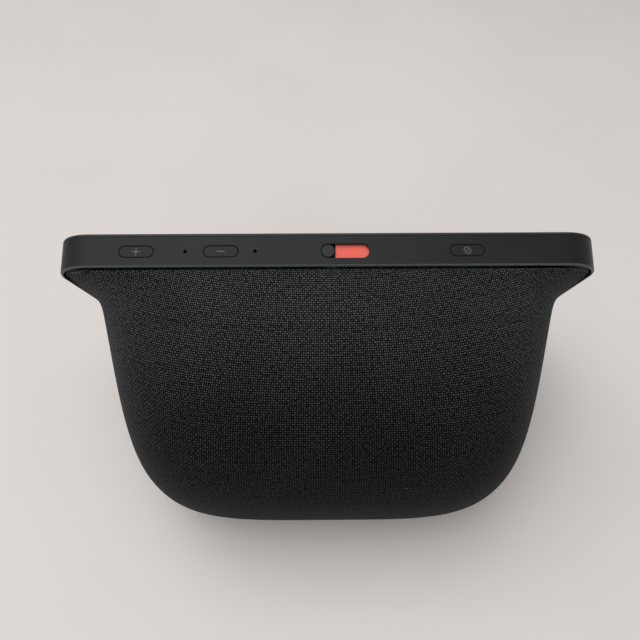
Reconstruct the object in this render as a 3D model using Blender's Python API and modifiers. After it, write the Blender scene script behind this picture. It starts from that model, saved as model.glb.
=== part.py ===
"""Compact smart display: a tilted screen module on a fabric covered speaker body.

The screen faces -Y. The origin is on the table, under the middle of the whole object, and +Z is up.
The screen module is built in its own tilted frame: X across, Y back from the glass, Z up the glass.
The speaker is built in a frame whose Z axis is the driver's axis. All sizes are in metres.
"""
import math

import bmesh
import bpy
import numpy as np
from mathutils import Matrix, Vector

MM = 0.001
GAP = 0.3 * MM

# Overall size
WIDTH = 147 * MM
DEPTH = 91 * MM
HEIGHT = 82 * MM

# Screen module
TILT = math.radians(24)
SCREEN_LENGTH = 84.6 * MM
SCREEN_THICKNESS = 9.1 * MM
SCREEN_CORNER = 10.1 * MM
SCREEN_DRAFT = 0.4 * MM
GLASS = 0.7 * MM
FRAME_WALL = 2 * MM
LEDGE_FRONT = 5.7 * MM
LEDGE_THICKNESS = 2 * MM
LEDGE_OPENING = (124 * MM, 10 * MM)
PANEL_SIZE = (128 * MM, 1.2 * MM, 64.8 * MM)
BACKLIGHT_THICKNESS = 1.8 * MM
CHASSIS_THICKNESS = 0.8 * MM
PANEL_BOTTOM = 10 * MM

# Top edge controls
CONTROL_LINE = 5 * MM
BUTTON_SIZE = (8.6 * MM, 2.65 * MM)
BUTTON_PROUD = 0.1 * MM
BUTTON_FLANGE = 1.2 * MM
BUTTON_AT = {"volume_up": 50.1 * MM, "volume_down": 28 * MM, "mute": -36.6 * MM}
MICROPHONE_AT = {"microphone_left": 37.3 * MM, "microphone_right": 19 * MM}
MICROPHONE_HOLE = 0.5 * MM
SHUTTER_SLOT = (12.7 * MM, 3.9 * MM)
SHUTTER_SLOT_AT = -4.6 * MM
SHUTTER_KNOB_AT = -0.15 * MM
SHUTTER_KNOB_RADIUS = 1.65 * MM
SHUTTER_WALL = 0.9 * MM
SHUTTER_TRAVEL = 8.8 * MM
CAMERA_UP = SCREEN_LENGTH - 5.4 * MM
BOARD_TOP = SCREEN_LENGTH - 5.2 * MM

# Fabric covered body
BASE_LEVEL = 3 * MM
BODY_REAR = DEPTH / 2
BODY_REAR_LEVEL = 31.8 * MM
BODY_REAR_FOOT = 12.1 * MM
BODY_TOP_STEP = 1 * MM
BODY_TOP_SLOPE = math.radians(18)
BODY_FULLNESS = {"top": 0.48, "rear": 0.48, "under": 0.58}
BODY_HALF_WIDTH = 71.1 * MM
BODY_RIM_HALF_WIDTH = 72.2 * MM
BODY_RIM_FLARE = 1.4 * MM
BODY_NARROWING = 0.218
BODY_NARROWING_EASE = 0.71
BODY_TUCK = (7 * MM, 12 * MM)
BODY_CORNER_POWERS = (20, 5.58, 4.36)
BODY_CORNER_BLENDS = (1.73 * MM, 20 * MM)
FABRIC = 1 * MM
FABRIC_CLEARANCE = 0.9 * MM
HOUSING_WALL = 2 * MM

# Base
TRAY_THICKNESS = 1.5 * MM
FOOT_THICKNESS = 0.9 * MM
FOOT_INSET = 3.5 * MM
BASE_SCREWS = ((54.5 * MM, -18 * MM), (-54.5 * MM, -18 * MM), (40 * MM, 18 * MM), (-40 * MM, 18 * MM))

# Speaker driver
SPEAKER_TILT = math.radians(35)
SPEAKER_AT = (0, 22.5 * MM, 46 * MM)
SPEAKER_RADIUS = 22.5 * MM

# Power inlet
INLET_LEVEL = 9.6 * MM
INLET_RADIUS = 5.2 * MM
INLET_FLOOR = 29.4 * MM
INLET_RIM_SLOPE = 0.62

# Screw modifier and bevel resolutions
ROUND_STEPS = 20
FINE_STEPS = 28
CORNER_STEPS = 6


def clear_scene():
    """Removes every object that the new file came with."""
    for thing in list(bpy.data.objects):
        bpy.data.objects.remove(thing, do_unlink=True)


def new_collection(name):
    """Returns a new collection linked to the scene."""
    group = bpy.data.collections.new(name)
    bpy.context.scene.collection.children.link(group)
    return group


def finish(name, color, roughness, metallic=0.0):
    """Returns a Principled material for one sub-part."""
    made = bpy.data.materials.new(name)
    made.use_nodes = True
    shader = made.node_tree.nodes["Principled BSDF"]
    shader.inputs["Base Color"].default_value = (*color, 1)
    shader.inputs["Roughness"].default_value = roughness
    shader.inputs["Metallic"].default_value = metallic
    made.diffuse_color = (*color, 1)
    return made


def add_object(name, mesh, group, look=None, at=(0, 0, 0), parent=None):
    """Places a mesh in a collection as one named object."""
    made = bpy.data.objects.new(name, mesh)
    group.objects.link(made)
    made.location = at
    made.parent = parent
    if look is not None:
        mesh.materials.append(look)
    if group is cutters:
        made.hide_render = True
        made.display_type = "WIRE"
    return made


def mesh_from(build, name):
    """Turns a bmesh into a mesh with smooth round sides and sharp edges."""
    bmesh.ops.recalc_face_normals(build, faces=build.faces)
    mesh = bpy.data.meshes.new(name)
    build.to_mesh(mesh)
    build.free()
    mesh.shade_smooth()
    mesh.set_sharp_from_angle(angle=math.radians(35))
    return mesh


def box_mesh(name, size, corner=0, axis="Y", steps=CORNER_STEPS):
    """Returns a box about its centre, with the four edges along one axis rounded."""
    build = bmesh.new()
    bmesh.ops.create_cube(build, size=1, matrix=Matrix.Diagonal((*size, 1)))
    if corner:
        along = "XYZ".index(axis)
        rounded = []
        for edge in build.edges:
            step = edge.verts[1].co - edge.verts[0].co
            if abs(step[along]) > 0.9 * step.length:
                rounded.append(edge)
        bmesh.ops.bevel(build, geom=rounded, offset=corner, segments=steps, profile=0.5, affect="EDGES")
    return mesh_from(build, name)


def box(name, size, centre, look, parent=None, corner=0, axis="Y", steps=CORNER_STEPS):
    """Places a box sub-part with its middle at centre."""
    return add_object(name, box_mesh(name, size, corner, axis, steps), parts, look, centre, parent)


def box_cutter(name, size, centre, parent=None, corner=0, axis="Y", steps=CORNER_STEPS):
    """Places a box that only cuts other sub-parts."""
    return add_object(name, box_mesh(name, size, corner, axis, steps), cutters, None, centre, parent)


def cylinder_mesh(name, radius, length, axis="Z", steps=ROUND_STEPS):
    """Returns a cylinder about its centre, along one axis."""
    turns = {
        "X": Matrix.Rotation(math.pi / 2, 4, "Y"),
        "Y": Matrix.Rotation(math.pi / 2, 4, "X"),
        "Z": Matrix.Identity(4),
    }
    build = bmesh.new()
    bmesh.ops.create_cone(
        build,
        cap_ends=True,
        segments=steps,
        radius1=radius,
        radius2=radius,
        depth=length,
        matrix=turns[axis],
    )
    return mesh_from(build, name)


def cylinder_cutter(name, radius, length, centre, parent=None, axis="Z", steps=ROUND_STEPS):
    """Places a cylinder that only cuts other sub-parts."""
    mesh = cylinder_mesh(name, radius, length, axis, steps)
    return add_object(name, mesh, cutters, None, centre, parent)


def turned(name, profile, look, at, parent=None, turn=(0, 0, 0), steps=ROUND_STEPS):
    """Places a turned sub-part: a profile of (radius, height) points spun about its own Z axis."""
    mesh = bpy.data.meshes.new(name)
    points = [(radius, 0, height) for radius, height in profile]
    edges = [(index, index + 1) for index in range(len(points) - 1)]
    mesh.from_pydata(points, edges, [])
    made = add_object(name, mesh, parts, look, at, parent)
    made.rotation_euler = turn
    spin = made.modifiers.new("Spin", "SCREW")
    spin.axis = "Z"
    spin.steps = steps
    spin.render_steps = steps
    spin.use_merge_vertices = True
    spin.merge_threshold = 0.00001
    spin.use_smooth_shade = True
    return made


def combine(target, tool, operation):
    """Cuts a tool from a sub-part, or joins it on."""
    made = target.modifiers.new(tool.name, "BOOLEAN")
    made.operation = operation
    made.solver = "EXACT"
    made.object = tool


def soften(target, width, steps=2):
    """Rounds the sharp edges that are left on a sub-part."""
    made = target.modifiers.new("Soft edges", "BEVEL")
    made.width = width
    made.segments = steps
    made.limit_method = "ANGLE"
    made.angle_limit = math.radians(50)


def tilted_frame():
    """Returns the empty that carries the screen module: Y back from the glass, Z up the glass."""
    frame = bpy.data.objects.new("screen_module_frame", None)
    parts.objects.link(frame)
    frame.location = (0, -DEPTH / 2, HEIGHT - SCREEN_LENGTH * math.cos(TILT))
    frame.rotation_euler = (-TILT, 0, 0)
    return frame


def speaker_frame_empty():
    """Returns the empty on the driver's axis: Z points out of the cone."""
    frame = bpy.data.objects.new("speaker_axis", None)
    parts.objects.link(frame)
    frame.location = SPEAKER_AT
    frame.rotation_euler = (SPEAKER_TILT - math.pi / 2, 0, 0)
    return frame


def bezier(points, ratios):
    """Returns the points of one cubic Bezier curve in the YZ plane."""
    corners = [np.array(point, dtype=float) for point in points]
    found = []
    for ratio in ratios:
        rest = 1 - ratio
        weights = (rest**3, 3 * ratio * rest**2, 3 * ratio**2 * rest, ratio**3)
        found.append(sum(weight * corner for weight, corner in zip(weights, corners)))
    return found


def behind_glass(point):
    """Returns how far a (y, z) point lies behind the front of the glass."""
    foot = HEIGHT - SCREEN_LENGTH * math.cos(TILT)
    return (point[0] + DEPTH / 2) * math.cos(TILT) - (point[1] - foot) * math.sin(TILT)


def module_point(back, up):
    """Returns the world (y, z) of a place in the tilted frame."""
    foot = HEIGHT - SCREEN_LENGTH * math.cos(TILT)
    y = -DEPTH / 2 + up * math.sin(TILT) + back * math.cos(TILT)
    z = foot + up * math.cos(TILT) - back * math.sin(TILT)
    return np.array((y, z))


def hinge_point():
    """Returns the (y, z) of the edge where the screen's back meets the base level."""
    foot = HEIGHT - SCREEN_LENGTH * math.cos(TILT)
    back = SCREEN_THICKNESS + GAP
    up = (BASE_LEVEL - foot + back * math.sin(TILT)) / math.cos(TILT)
    return module_point(back, up)


def body_profile(top_steps, rear_steps):
    """Returns the body's middle line, from the screen's top edge over the rear to the base."""
    start = module_point(SCREEN_THICKNESS + GAP, SCREEN_LENGTH - BODY_TOP_STEP)
    bulge = np.array((BODY_REAR, BODY_REAR_LEVEL))
    end = np.array((BODY_REAR - BODY_REAR_FOOT, BASE_LEVEL))
    reach = bulge[0] - start[0]
    drop = start[1] - bulge[1]
    under = bulge[1] - end[1]
    slope = np.array((math.cos(BODY_TOP_SLOPE), -math.sin(BODY_TOP_SLOPE)))
    over = (
        start,
        start + BODY_FULLNESS["top"] * reach * slope,
        bulge + np.array((0, BODY_FULLNESS["rear"] * drop)),
        bulge,
    )
    below = (
        bulge,
        bulge - np.array((0, BODY_FULLNESS["under"] * under)),
        end + np.array((0.35 * BODY_REAR_FOOT, 0.25 * under)),
        end,
    )
    top = bezier(over, [(step / top_steps) ** 1.4 for step in range(top_steps + 1)])
    rear = bezier(below, [step / rear_steps for step in range(1, rear_steps + 1)])
    return top + rear


def inset_profile(profile, inset):
    """Moves the middle line inwards, keeping its ends in the screen's plane and in the base's plane."""
    if not inset:
        return profile
    line = np.array(profile)
    along = np.gradient(line, axis=0)
    along /= np.linalg.norm(along, axis=1)[:, None]
    inner = line + inset * np.stack((along[:, 1], -along[:, 0]), axis=1)
    inner[0] = module_point(SCREEN_THICKNESS + GAP, SCREEN_LENGTH - BODY_TOP_STEP - inset)
    inner[-1] = (line[-1, 0] + inset / along[-1, 1], BASE_LEVEL)
    return list(inner)


def half_width(back):
    """Returns the body's half width at a distance behind the glass."""
    behind = max(back - SCREEN_THICKNESS - GAP, 0)
    flare = (BODY_RIM_HALF_WIDTH - BODY_HALF_WIDTH) * math.exp(-behind / BODY_RIM_FLARE)
    return BODY_HALF_WIDTH - BODY_NARROWING * behind + BODY_NARROWING_EASE * behind**2 + flare


def corner_power(back):
    """Returns the superellipse power of a section: square at the screen, rounder further back."""
    behind = max(back - SCREEN_THICKNESS - GAP, 0)
    square, near, far = BODY_CORNER_POWERS
    quick, slow = (math.exp(-behind / reach) for reach in BODY_CORNER_BLENDS)
    rounded = far + (near - far) * slow
    return 1 / (quick / square + (1 - quick) / rounded)


def side_tuck(level, inset):
    """Returns how far the lower side draws in at a height, with the inset measured square to it."""
    depth, height = BODY_TUCK
    ratio = max(1 - (level - BASE_LEVEL) / height, 0)
    slope = 2 * depth * ratio / height
    return depth * ratio**2 + inset * math.hypot(1, slope)


def body_section(tip, inset, count):
    """Returns half of one section of the body, from its side at the base edge to its middle.

    Sections fan out from the edge where the screen's back meets the base. Each is a superellipse,
    squarer near the screen, with its points spread evenly along it.
    """
    hinge = hinge_point()
    power = corner_power(behind_glass(tip))
    dense = []
    for angle in np.linspace(0, math.pi / 2, 1200) ** 3 / (math.pi / 2) ** 2:
        rise = math.sin(angle) ** (2 / power)
        spread = max(math.cos(angle), 0) ** (2 / power)
        y, z = hinge + rise * (tip - hinge)
        wide = half_width(behind_glass((y, z))) - side_tuck(z, inset)
        dense.append((wide * spread, y, z))
    dense = np.array(dense)
    dense[-1, 0] = 0
    run = np.concatenate(((0,), np.cumsum(np.linalg.norm(np.diff(dense, axis=0), axis=1))))
    even = np.linspace(0, run[-1], count)
    return np.stack([np.interp(even, run, dense[:, axis]) for axis in range(3)], axis=1)


def body_rows(inset, top_steps=10, rear_steps=4, count=19):
    """Returns the points of the +X half of the body's surface, drawn in by an inset, row by row."""
    tips = inset_profile(body_profile(top_steps, rear_steps), inset)
    return [body_section(tip, inset, count) for tip in tips]


def body_shell(name, inset, wall, look):
    """Places one shell of the body: lofted outer and inner surfaces joined by flat rims.

    The +X half is open at the middle plane, where the Mirror closes it.
    """
    build = bmesh.new()
    outer, inner = ([[build.verts.new(point) for point in row] for row in body_rows(depth)]
                    for depth in (inset, inset + wall))
    strips = list(zip(outer, outer[1:])) + list(zip(inner, inner[1:]))
    strips += [(outer[0], inner[0]), (outer[-1], inner[-1])]
    for one, other in strips:
        for here, there in zip(zip(one, other), zip(one[1:], other[1:])):
            build.faces.new((here[0], here[1], there[1], there[0]))
    bmesh.ops.remove_doubles(build, verts=build.verts, dist=0.00001)
    made = add_object(name, mesh_from(build, name), parts, look)
    mirror = made.modifiers.new("Mirror", "MIRROR")
    mirror.use_axis = (True, False, False)
    mirror.use_clip = True
    mirror.merge_threshold = 0.00001
    return made


def base_outline(inset, count=20):
    """Returns the closed outline of the base, drawn in from the body's lower edge."""
    tip = body_profile(4, 1)[-1] - np.array((inset, 0))
    half = body_section(tip, inset, count)
    front = hinge_point()[0] + inset
    corner = (float(np.interp(front, half[:, 1], half[:, 0])), front)
    right = [corner] + [(x, y) for x, y, _ in half if y > front + MM]
    left = [(-x, y) for x, y in reversed(right[:-1])]
    return right + left


def plate_from_outline(name, outline, bottom, top, look):
    """Places a flat plate with a given outline between two levels."""
    build = bmesh.new()
    build.faces.new([build.verts.new((x, y, bottom)) for x, y in outline])
    grown = bmesh.ops.extrude_face_region(build, geom=build.faces[:])
    lifted = [item for item in grown["geom"] if isinstance(item, bmesh.types.BMVert)]
    bmesh.ops.translate(build, vec=(0, 0, top - bottom), verts=lifted)
    return add_object(name, mesh_from(build, name), parts, look)


def make_display_frame(frame):
    """Plastic frame round the screen module, with every opening of the top edge."""
    front = GLASS + GAP
    depth = SCREEN_THICKNESS - front
    mesh = box_mesh("display_frame", (WIDTH, depth, SCREEN_LENGTH), SCREEN_CORNER, steps=10)
    for vertex in mesh.vertices:
        if vertex.co.y > 0:
            vertex.co.x *= 1 - 2 * SCREEN_DRAFT / WIDTH
            vertex.co.z *= 1 - 2 * SCREEN_DRAFT / SCREEN_LENGTH
    centre = (0, front + depth / 2, SCREEN_LENGTH / 2)
    made = add_object("display_frame", mesh, parts, finish("display_frame", (0.045, 0.046, 0.048), 0.5),
                      centre, frame)
    soften(made, 0.5 * MM)
    inner = (WIDTH - 2 * FRAME_WALL, SCREEN_LENGTH - 2 * FRAME_WALL)
    inner_corner = SCREEN_CORNER - FRAME_WALL
    front_depth = LEDGE_FRONT - front + MM
    rear_start = LEDGE_FRONT + LEDGE_THICKNESS
    rear_depth = SCREEN_THICKNESS - rear_start + MM
    ledge_width, ledge_bottom = LEDGE_OPENING
    ledge_top = SCREEN_LENGTH - FRAME_WALL
    combine(made, box_cutter("frame_front_hollow", (inner[0], front_depth, inner[1]),
                             (0, LEDGE_FRONT - front_depth / 2, SCREEN_LENGTH / 2), frame, inner_corner),
            "DIFFERENCE")
    combine(made, box_cutter("frame_rear_hollow", (inner[0], rear_depth, inner[1]),
                             (0, rear_start + rear_depth / 2, SCREEN_LENGTH / 2), frame, inner_corner),
            "DIFFERENCE")
    combine(made, box_cutter("frame_window", (ledge_width, 4 * MM, ledge_top - ledge_bottom),
                             (0, LEDGE_FRONT + 1 * MM, (ledge_top + ledge_bottom) / 2), frame), "DIFFERENCE")
    for name, x in BUTTON_AT.items():
        size = (BUTTON_SIZE[0] + 2 * GAP, BUTTON_SIZE[1] + 2 * GAP, 8 * MM)
        hole = box_cutter(f"{name}_hole", size, (x, CONTROL_LINE, SCREEN_LENGTH), frame,
                          0.499 * size[1], "Z")
        combine(made, hole, "DIFFERENCE")
    slot_size = (*SHUTTER_SLOT, 8 * MM)
    combine(made, box_cutter("shutter_slot", slot_size, (SHUTTER_SLOT_AT, CONTROL_LINE, SCREEN_LENGTH),
                             frame, 0.499 * SHUTTER_SLOT[1], "Z"), "DIFFERENCE")
    pocket_height = FRAME_WALL - SHUTTER_WALL + 1 * MM
    pocket_middle = SCREEN_LENGTH - SHUTTER_WALL - pocket_height / 2
    combine(made, box_cutter("shutter_pocket", (37 * MM, 9 * MM, pocket_height),
                             (-4.6 * MM, 3.5 * MM, pocket_middle), frame), "DIFFERENCE")
    for name, x in MICROPHONE_AT.items():
        hole = cylinder_cutter(f"{name}_hole", MICROPHONE_HOLE, 8 * MM, (x, CONTROL_LINE, SCREEN_LENGTH),
                               frame, steps=12)
        combine(made, hole, "DIFFERENCE")
    for number, (x, up) in enumerate(display_screw_places(), 1):
        hole = cylinder_cutter(f"display_screw_{number}_frame_hole", 1.2 * MM, 4 * MM,
                               (x, LEDGE_FRONT + 1 * MM, up), frame, "Y", 12)
        combine(made, hole, "DIFFERENCE")


def display_screw_places():
    """Returns where the four display screws stand, across and up the module."""
    return [(side * 66 * MM, up) for side in (1, -1) for up in (20 * MM, 62 * MM)]


def make_glass_and_panel(frame):
    """Cover glass, liquid crystal panel, backlight and the metal chassis behind them."""
    glass = box("front_glass", (WIDTH, GLASS, SCREEN_LENGTH), (0, GLASS / 2, SCREEN_LENGTH / 2),
                finish("front_glass", (0.004, 0.004, 0.005), 0.08), frame, SCREEN_CORNER, steps=10)
    soften(glass, 0.15 * MM, 1)
    up = PANEL_BOTTOM + PANEL_SIZE[2] / 2
    panel_front = GLASS + GAP
    box("lcd_panel", PANEL_SIZE, (0, panel_front + PANEL_SIZE[1] / 2, up),
        finish("lcd_panel", (0.01, 0.011, 0.014), 0.2), frame)
    light_front = panel_front + PANEL_SIZE[1] + GAP
    box("backlight_unit", (PANEL_SIZE[0], BACKLIGHT_THICKNESS, PANEL_SIZE[2]),
        (0, light_front + BACKLIGHT_THICKNESS / 2, up), finish("backlight_unit", (0.75, 0.75, 0.74), 0.4),
        frame, 1.5 * MM, steps=3)
    plate_front = LEDGE_FRONT - GAP - CHASSIS_THICKNESS
    plate = box("display_chassis", (139 * MM, CHASSIS_THICKNESS, 67.5 * MM),
                (0, plate_front + CHASSIS_THICKNESS / 2, 40.5 * MM),
                finish("display_chassis", (0.55, 0.56, 0.58), 0.35, 1), frame, 6 * MM)
    for number, (x, place) in enumerate(display_screw_places(), 1):
        hole = cylinder_cutter(f"display_screw_{number}_plate_hole", 1.2 * MM, 4 * MM,
                               (x, plate_front, place), frame, "Y", 12)
        combine(plate, hole, "DIFFERENCE")
        head = LEDGE_FRONT + LEDGE_THICKNESS + GAP
        profile = ((0, head + MM), (1.9 * MM, head + MM), (1.9 * MM, head), (0.9 * MM, head),
                   (0.9 * MM, plate_front), (0, plate_front))
        zinc = finish(f"display_screw_{number}", (0.5, 0.5, 0.52), 0.3, 1)
        turned(f"display_screw_{number}", profile, zinc, (x, 0, place), frame, (-math.pi / 2, 0, 0), 12)


def make_buttons(frame):
    """Three caps in the top edge, each with its dome switch on the controls board."""
    board = box("controls_board", (110 * MM, 5.6 * MM, 1 * MM), (5.5 * MM, 5.2 * MM, BOARD_TOP - 0.5 * MM),
                finish("controls_board", (0.02, 0.12, 0.06), 0.5), frame)
    notch = box_cutter("camera_notch", (8 * MM, 5 * MM, 4 * MM), (0, 3.8 * MM, BOARD_TOP), frame)
    combine(board, notch, "DIFFERENCE")
    flange_top = SCREEN_LENGTH - FRAME_WALL - GAP
    flange_bottom = flange_top - BUTTON_FLANGE
    stem_top = SCREEN_LENGTH + BUTTON_PROUD
    for name, x in BUTTON_AT.items():
        height = stem_top - flange_bottom
        mesh = box_mesh(f"{name}_button", (*BUTTON_SIZE, height), 0.499 * BUTTON_SIZE[1], "Z")
        cap = add_object(f"{name}_button", mesh, parts, finish(f"{name}_button", (0.04, 0.041, 0.043), 0.5),
                         (x, CONTROL_LINE, flange_bottom + height / 2), frame)
        flange_size = (BUTTON_SIZE[0] + 2 * MM, BUTTON_SIZE[1] + 1.6 * MM, BUTTON_FLANGE)
        flange = box_cutter(f"{name}_flange", flange_size,
                            (x, CONTROL_LINE, flange_bottom + BUTTON_FLANGE / 2), frame, 1 * MM, "Z", 3)
        combine(cap, flange, "UNION")
        box(f"{name}_switch", (3.6 * MM, 3 * MM, 0.7 * MM), (x, CONTROL_LINE, BOARD_TOP + GAP + 0.35 * MM),
            finish(f"{name}_switch", (0.6, 0.6, 0.58), 0.35, 1), frame, 0.4 * MM, "Z", 2)
    for name, x in MICROPHONE_AT.items():
        can = box(name, (3.5 * MM, 2.65 * MM, 1 * MM), (x, CONTROL_LINE, BOARD_TOP + GAP + 0.5 * MM),
                  finish(name, (0.7, 0.62, 0.4), 0.35, 1), frame, 0.4 * MM, "Z", 2)
        port = cylinder_cutter(f"{name}_port", 0.4 * MM, 1 * MM, (x, CONTROL_LINE, BOARD_TOP + GAP + MM),
                               frame, steps=8)
        combine(can, port, "DIFFERENCE")


def make_shutter(frame):
    """Sliding camera shutter: thumb knob, carrier with the blade, and the red strip it shows."""
    plate_top = SCREEN_LENGTH - SHUTTER_WALL - GAP
    plate = 0.8 * MM
    knob_top = SCREEN_LENGTH + 0.2 * MM
    radius = SHUTTER_KNOB_RADIUS
    profile = ((0, knob_top), (radius - 0.3 * MM, knob_top), (radius, knob_top - 0.3 * MM),
               (radius, plate_top - plate), (0, plate_top - plate))
    turned("shutter_knob", profile, finish("shutter_knob", (0.03, 0.031, 0.033), 0.45),
           (SHUTTER_KNOB_AT, CONTROL_LINE, 0), frame, steps=20)
    clear = radius + GAP
    red_end = SHUTTER_SLOT_AT - SHUTTER_SLOT[0] / 2 - 0.8 * MM
    red_length = SHUTTER_KNOB_AT - clear - red_end
    box("shutter_indicator", (red_length, 5.2 * MM, plate),
        (red_end + red_length / 2, CONTROL_LINE, plate_top - plate / 2),
        finish("shutter_indicator", (0.8, 0.1, 0.06), 0.45), frame)
    dark_length = SHUTTER_TRAVEL + 1.4 * MM
    carrier = box("shutter_carrier", (dark_length, 5.2 * MM, plate),
                  (SHUTTER_KNOB_AT + clear + dark_length / 2, CONTROL_LINE, plate_top - plate / 2),
                  finish("shutter_carrier", (0.02, 0.02, 0.021), 0.5), frame)
    blade_height = 7.4 * MM
    blade = box_cutter("shutter_blade", (7 * MM, 0.4 * MM, blade_height),
                       (0.2 * MM, 1.25 * MM, plate_top - blade_height / 2), frame)
    combine(carrier, blade, "UNION")
    arm = box_cutter("shutter_arm", (3 * MM, 1.9 * MM, plate),
                     (clear + MM, 2 * MM, plate_top - plate / 2), frame)
    combine(carrier, arm, "UNION")


def make_camera(frame):
    """Camera behind the top bezel, looking forwards through the glass."""
    body = box("camera_module", (6 * MM, 4 * MM, 4.8 * MM), (0, 4 * MM, CAMERA_UP),
               finish("camera_module", (0.015, 0.015, 0.016), 0.45), frame, 0.6 * MM, steps=2)
    mouth = cylinder_cutter("camera_mouth", 1.7 * MM, 1.6 * MM, (0, 2.2 * MM, CAMERA_UP), frame, "Y", 20)
    combine(body, mouth, "DIFFERENCE")
    profile = ((0, 0.45 * MM), (0.7 * MM, 0.38 * MM), (1.3 * MM, 0.1 * MM), (1.3 * MM, -0.35 * MM),
               (0, -0.35 * MM))
    turned("camera_lens", profile, finish("camera_lens", (0.01, 0.01, 0.02), 0.03), (0, 2.3 * MM, CAMERA_UP),
           frame, (math.pi / 2, 0, 0), 16)


def make_electronics(frame):
    """Main board behind the screen module, its shields, heat sink, ribbon and antennas."""
    board_back = 15 * MM
    board_up = 38 * MM
    box("main_board", (96 * MM, 1.2 * MM, 50 * MM), (0, board_back - 0.6 * MM, board_up),
        finish("main_board", (0.02, 0.12, 0.06), 0.5), frame, 2 * MM, steps=3)
    shield = 1.8 * MM
    shield_middle = board_back + GAP + shield / 2
    steel = (0.6, 0.61, 0.63)
    box("processor_shield", (26 * MM, shield, 24 * MM), (-8 * MM, shield_middle, board_up),
        finish("processor_shield", steel, 0.3, 1), frame, 1 * MM, steps=2)
    box("radio_shield", (18 * MM, shield, 15 * MM), (30 * MM, shield_middle, board_up + 10 * MM),
        finish("radio_shield", steel, 0.3, 1), frame, 1 * MM, steps=2)
    sink_start = board_back + shield + 2 * GAP
    fins = 7
    pitch = 4.6 * MM
    fin = 1.4 * MM
    depth = 7 * MM
    sink_base = 1.8 * MM
    half = (fins - 1) * pitch / 2 + fin / 2
    outline = [(half, sink_start), (-half, sink_start)]
    for number in range(fins):
        left = (number - (fins - 1) / 2) * pitch - fin / 2
        if number:
            outline.append((left, sink_start + sink_base))
        outline.append((left, sink_start + depth))
        outline.append((left + fin, sink_start + depth))
        if number < fins - 1:
            outline.append((left + fin, sink_start + sink_base))
    build = bmesh.new()
    build.faces.new([build.verts.new((x, y, -14 * MM)) for x, y in outline])
    grown = bmesh.ops.extrude_face_region(build, geom=build.faces[:])
    lifted = [item for item in grown["geom"] if isinstance(item, bmesh.types.BMVert)]
    bmesh.ops.translate(build, vec=(0, 0, 28 * MM), verts=lifted)
    add_object("heat_sink", mesh_from(build, "heat_sink"), parts,
               finish("heat_sink", (0.75, 0.75, 0.76), 0.35, 1), (-8 * MM, 0, board_up), frame)
    ribbon_start = LEDGE_FRONT
    ribbon_end = board_back - 1.2 * MM - GAP
    box("display_ribbon", (16 * MM, ribbon_end - ribbon_start, 0.3 * MM),
        (22 * MM, (ribbon_start + ribbon_end) / 2, 18 * MM),
        finish("display_ribbon", (0.35, 0.16, 0.03), 0.4), frame)
    for name, side in (("antenna_left", 1), ("antenna_right", -1)):
        box(name, (0.8 * MM, 9 * MM, 32 * MM), (side * 55 * MM, 22 * MM, 46 * MM),
            finish(name, (0.35, 0.24, 0.05), 0.4), frame, 2 * MM, "X", 3)


def make_speaker(axis):
    """Full range driver with its enclosure. The driver's frame points out at Z."""
    radius = SPEAKER_RADIUS
    turned("speaker_frame",
           ((radius, 1.6 * MM), (radius, 0), (radius - 3 * MM, 0), (15 * MM, -9 * MM), (9 * MM, -9 * MM),
            (9 * MM, -7.8 * MM), (14.4 * MM, -7.8 * MM), (radius - 3.9 * MM, 1.6 * MM), (radius, 1.6 * MM)),
           finish("speaker_frame", (0.03, 0.03, 0.03), 0.5, 0.6), (0, 0, 0), axis, steps=FINE_STEPS)
    turned("speaker_magnet", ((0, -9.3 * MM), (14 * MM, -9.3 * MM), (14 * MM, -18 * MM), (0, -18 * MM)),
           finish("speaker_magnet", (0.05, 0.05, 0.055), 0.4, 0.8), (0, 0, 0), axis, steps=FINE_STEPS)
    rim = radius - 4.3 * MM
    turned("speaker_cone",
           ((6 * MM, -5 * MM), (rim - 3.2 * MM, 1 * MM), (rim - 2.6 * MM, 2.2 * MM),
            (rim - 1.6 * MM, 2.8 * MM), (rim - 0.6 * MM, 2.2 * MM), (rim, 1.2 * MM), (rim, 0.7 * MM),
            (rim - 0.9 * MM, 1.6 * MM),
            (rim - 1.6 * MM, 2.1 * MM), (rim - 2.2 * MM, 1.6 * MM), (rim - 2.9 * MM, 0.3 * MM),
            (6.2 * MM, -5.8 * MM), (6 * MM, -5 * MM)),
           finish("speaker_cone", (0.02, 0.02, 0.021), 0.75), (0, 0, 0), axis, steps=FINE_STEPS)
    turned("speaker_dust_cap",
           ((0, -2 * MM), (3 * MM, -2.5 * MM), (5.6 * MM, -4.4 * MM), (5.6 * MM, -5 * MM), (0, -5 * MM)),
           finish("speaker_dust_cap", (0.025, 0.025, 0.026), 0.5), (0, 0, 0), axis)
    turned("speaker_gasket",
           ((radius, -GAP), (radius, -GAP - 0.8 * MM), (radius - 1.6 * MM, -GAP - 0.8 * MM),
            (radius - 1.6 * MM, -GAP), (radius, -GAP)),
           finish("speaker_gasket", (0.03, 0.03, 0.03), 0.9), (0, 0, 0), axis, steps=FINE_STEPS)
    wall = 1.6 * MM
    rear = -21 * MM
    top = -2 * GAP - 0.8 * MM
    turned("speaker_enclosure",
           ((radius, top), (radius, rear), (2 * MM, rear), (2 * MM, rear + wall),
            (radius - wall, rear + wall), (radius - wall, top), (radius, top)),
           finish("speaker_enclosure", (0.03, 0.03, 0.032), 0.6), (0, 0, 0), axis, steps=FINE_STEPS)


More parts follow.
